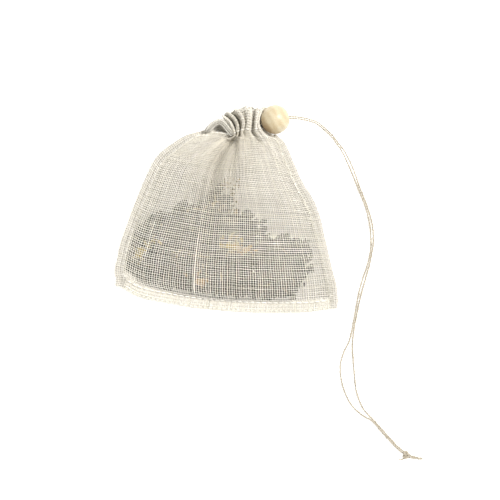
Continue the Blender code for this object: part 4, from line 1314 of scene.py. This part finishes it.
rng = np.random.default_rng(97)
stalks = Tubes()
for x, y in spots_in((-43, 33, -34, 6), 46, 98, 3.0):
    long, a = rng.uniform(2.5, 7.0), rng.uniform(0, math.pi)
    t = np.linspace(-0.5, 0.5, 9)
    bend = rng.normal(0, 0.5)
    px = x + long * t * math.cos(a) - bend * (4 * t * t) * math.sin(a)
    py = y + long * t * math.sin(a) + bend * (4 * t * t) * math.cos(a)
    roof = cloth_z(px, py)
    size = rng.uniform(0.18, 0.36)
    pz = np.minimum(np.linspace(roof[0], roof[-1], 9) - 0.9, roof - 0.45 - size)
    pz = np.maximum(pz, 1.3)
    stalks.add(np.stack([px, py, pz], 1), np.repeat(UP, 9, 0),
               size * (1 + 0.2 * np.sin(9 * t)), size, 7, tint=rng.uniform(0.6, 1.1))
keep(stalks.build("stalk_pieces", STALK), "dried_stalk", "stalk_left", "stalk_right")


# ------------------------------------------------------------------ stage, light, camera
def stage_floor():
    mesh = bpy.data.meshes.new("floor")
    s = 3.0
    mesh.from_pydata([(-s, -s, 0), (s, -s, 0), (s, s, 0), (-s, s, 0)], [], [(0, 1, 2, 3)])
    floor = bpy.data.objects.new("floor", mesh)
    floor.location = (0, 0, -0.0002)
    bpy.context.scene.collection.objects.link(floor)
    mat, tree, shader = nodes_of("white_table")
    shader.inputs["Roughness"].default_value = 0.9
    shader.inputs["Specular IOR Level"].default_value = 0.1
    shader.inputs["Emission Strength"].default_value = 0.50
    shader.inputs["Base Color"].default_value = (0.93, 0.93, 0.93, 1)
    shader.inputs["Emission Color"].default_value = (1, 1, 1, 1)
    mesh.materials.append(mat)
    return floor


def shade_under_bag():
    """The table just under the bag, where no light comes through."""
    top = NF + SV - 1
    ring = np.concatenate([whole_front[:, 0], whole_front[-1, 1:top + 1],
                           whole_front[NF:NF + SU, -1][::-1], whole_front[0, 1:top + 1][::-1]])
    middle = np.array([-3.0, -6.0])
    ring = middle + (ring[:, :2] - middle) * 0.965
    mesh = bpy.data.meshes.new("shade_under_bag")
    mesh.from_pydata([(x * MM, y * MM, 0) for x, y in ring], [], [tuple(range(len(ring)))])
    patch = bpy.data.objects.new("shade_under_bag", mesh)
    patch.location = (0, 0, -0.0001)
    bpy.context.scene.collection.objects.link(patch)
    mat, tree, shader = nodes_of("shaded_table")
    coords = tree.nodes.new("ShaderNodeTexCoord")
    place = tree.nodes.new("ShaderNodeMapping")      # darkest under the middle fold
    place.inputs["Location"].default_value = (0.2, -0.5, 0.0)
    place.inputs["Scale"].default_value = (32.0, 32.0, 32.0)
    link(tree, coords, "Object", place, "Vector")
    fall = tree.nodes.new("ShaderNodeTexGradient")
    fall.gradient_type = "SPHERICAL"
    link(tree, place, "Vector", fall, "Vector")
    shade = ramp(tree, fall, "Fac", [(0.0, (0.88, 0.87, 0.85)), (0.9, (0.44, 0.425, 0.385))])
    tree.links.new(shader.inputs["Base Color"], shade.outputs["Color"])
    shader.inputs["Roughness"].default_value = 0.9
    shader.inputs["Specular IOR Level"].default_value = 0.1
    mesh.materials.append(mat)


stage_floor()
shade_under_bag()
scene = bpy.context.scene
scene.view_settings.view_transform = "Standard"
world = bpy.data.worlds.new("studio")
world.use_nodes = True
world.node_tree.nodes["Background"].inputs["Color"].default_value = (1.0, 0.984, 0.953, 1)
world.node_tree.nodes["Background"].inputs["Strength"].default_value = 0.66
scene.world = world
key = bpy.data.lights.new("key", "SUN")
key.energy, key.angle, key.color = 3.62, math.radians(20), (1.0, 0.985, 0.96)
key_obj = bpy.data.objects.new("key", key)
key_obj.rotation_euler = Vector((0.46, 0.38, 0.95)).to_track_quat("Z", "Y").to_euler()
scene.collection.objects.link(key_obj)

cam = bpy.data.cameras.new("camera")
cam.sensor_width = 36
away = 0.9
cam.lens = 36 * away / 0.207
cam.clip_start, cam.clip_end = 0.05, 10
cam_obj = bpy.data.objects.new("camera", cam)
cam_obj.location = (6.73 * MM, -12.3 * MM, away)
cam_obj.rotation_euler = (0, 0, math.radians(6.7))
scene.collection.objects.link(cam_obj)
scene.camera = cam_obj
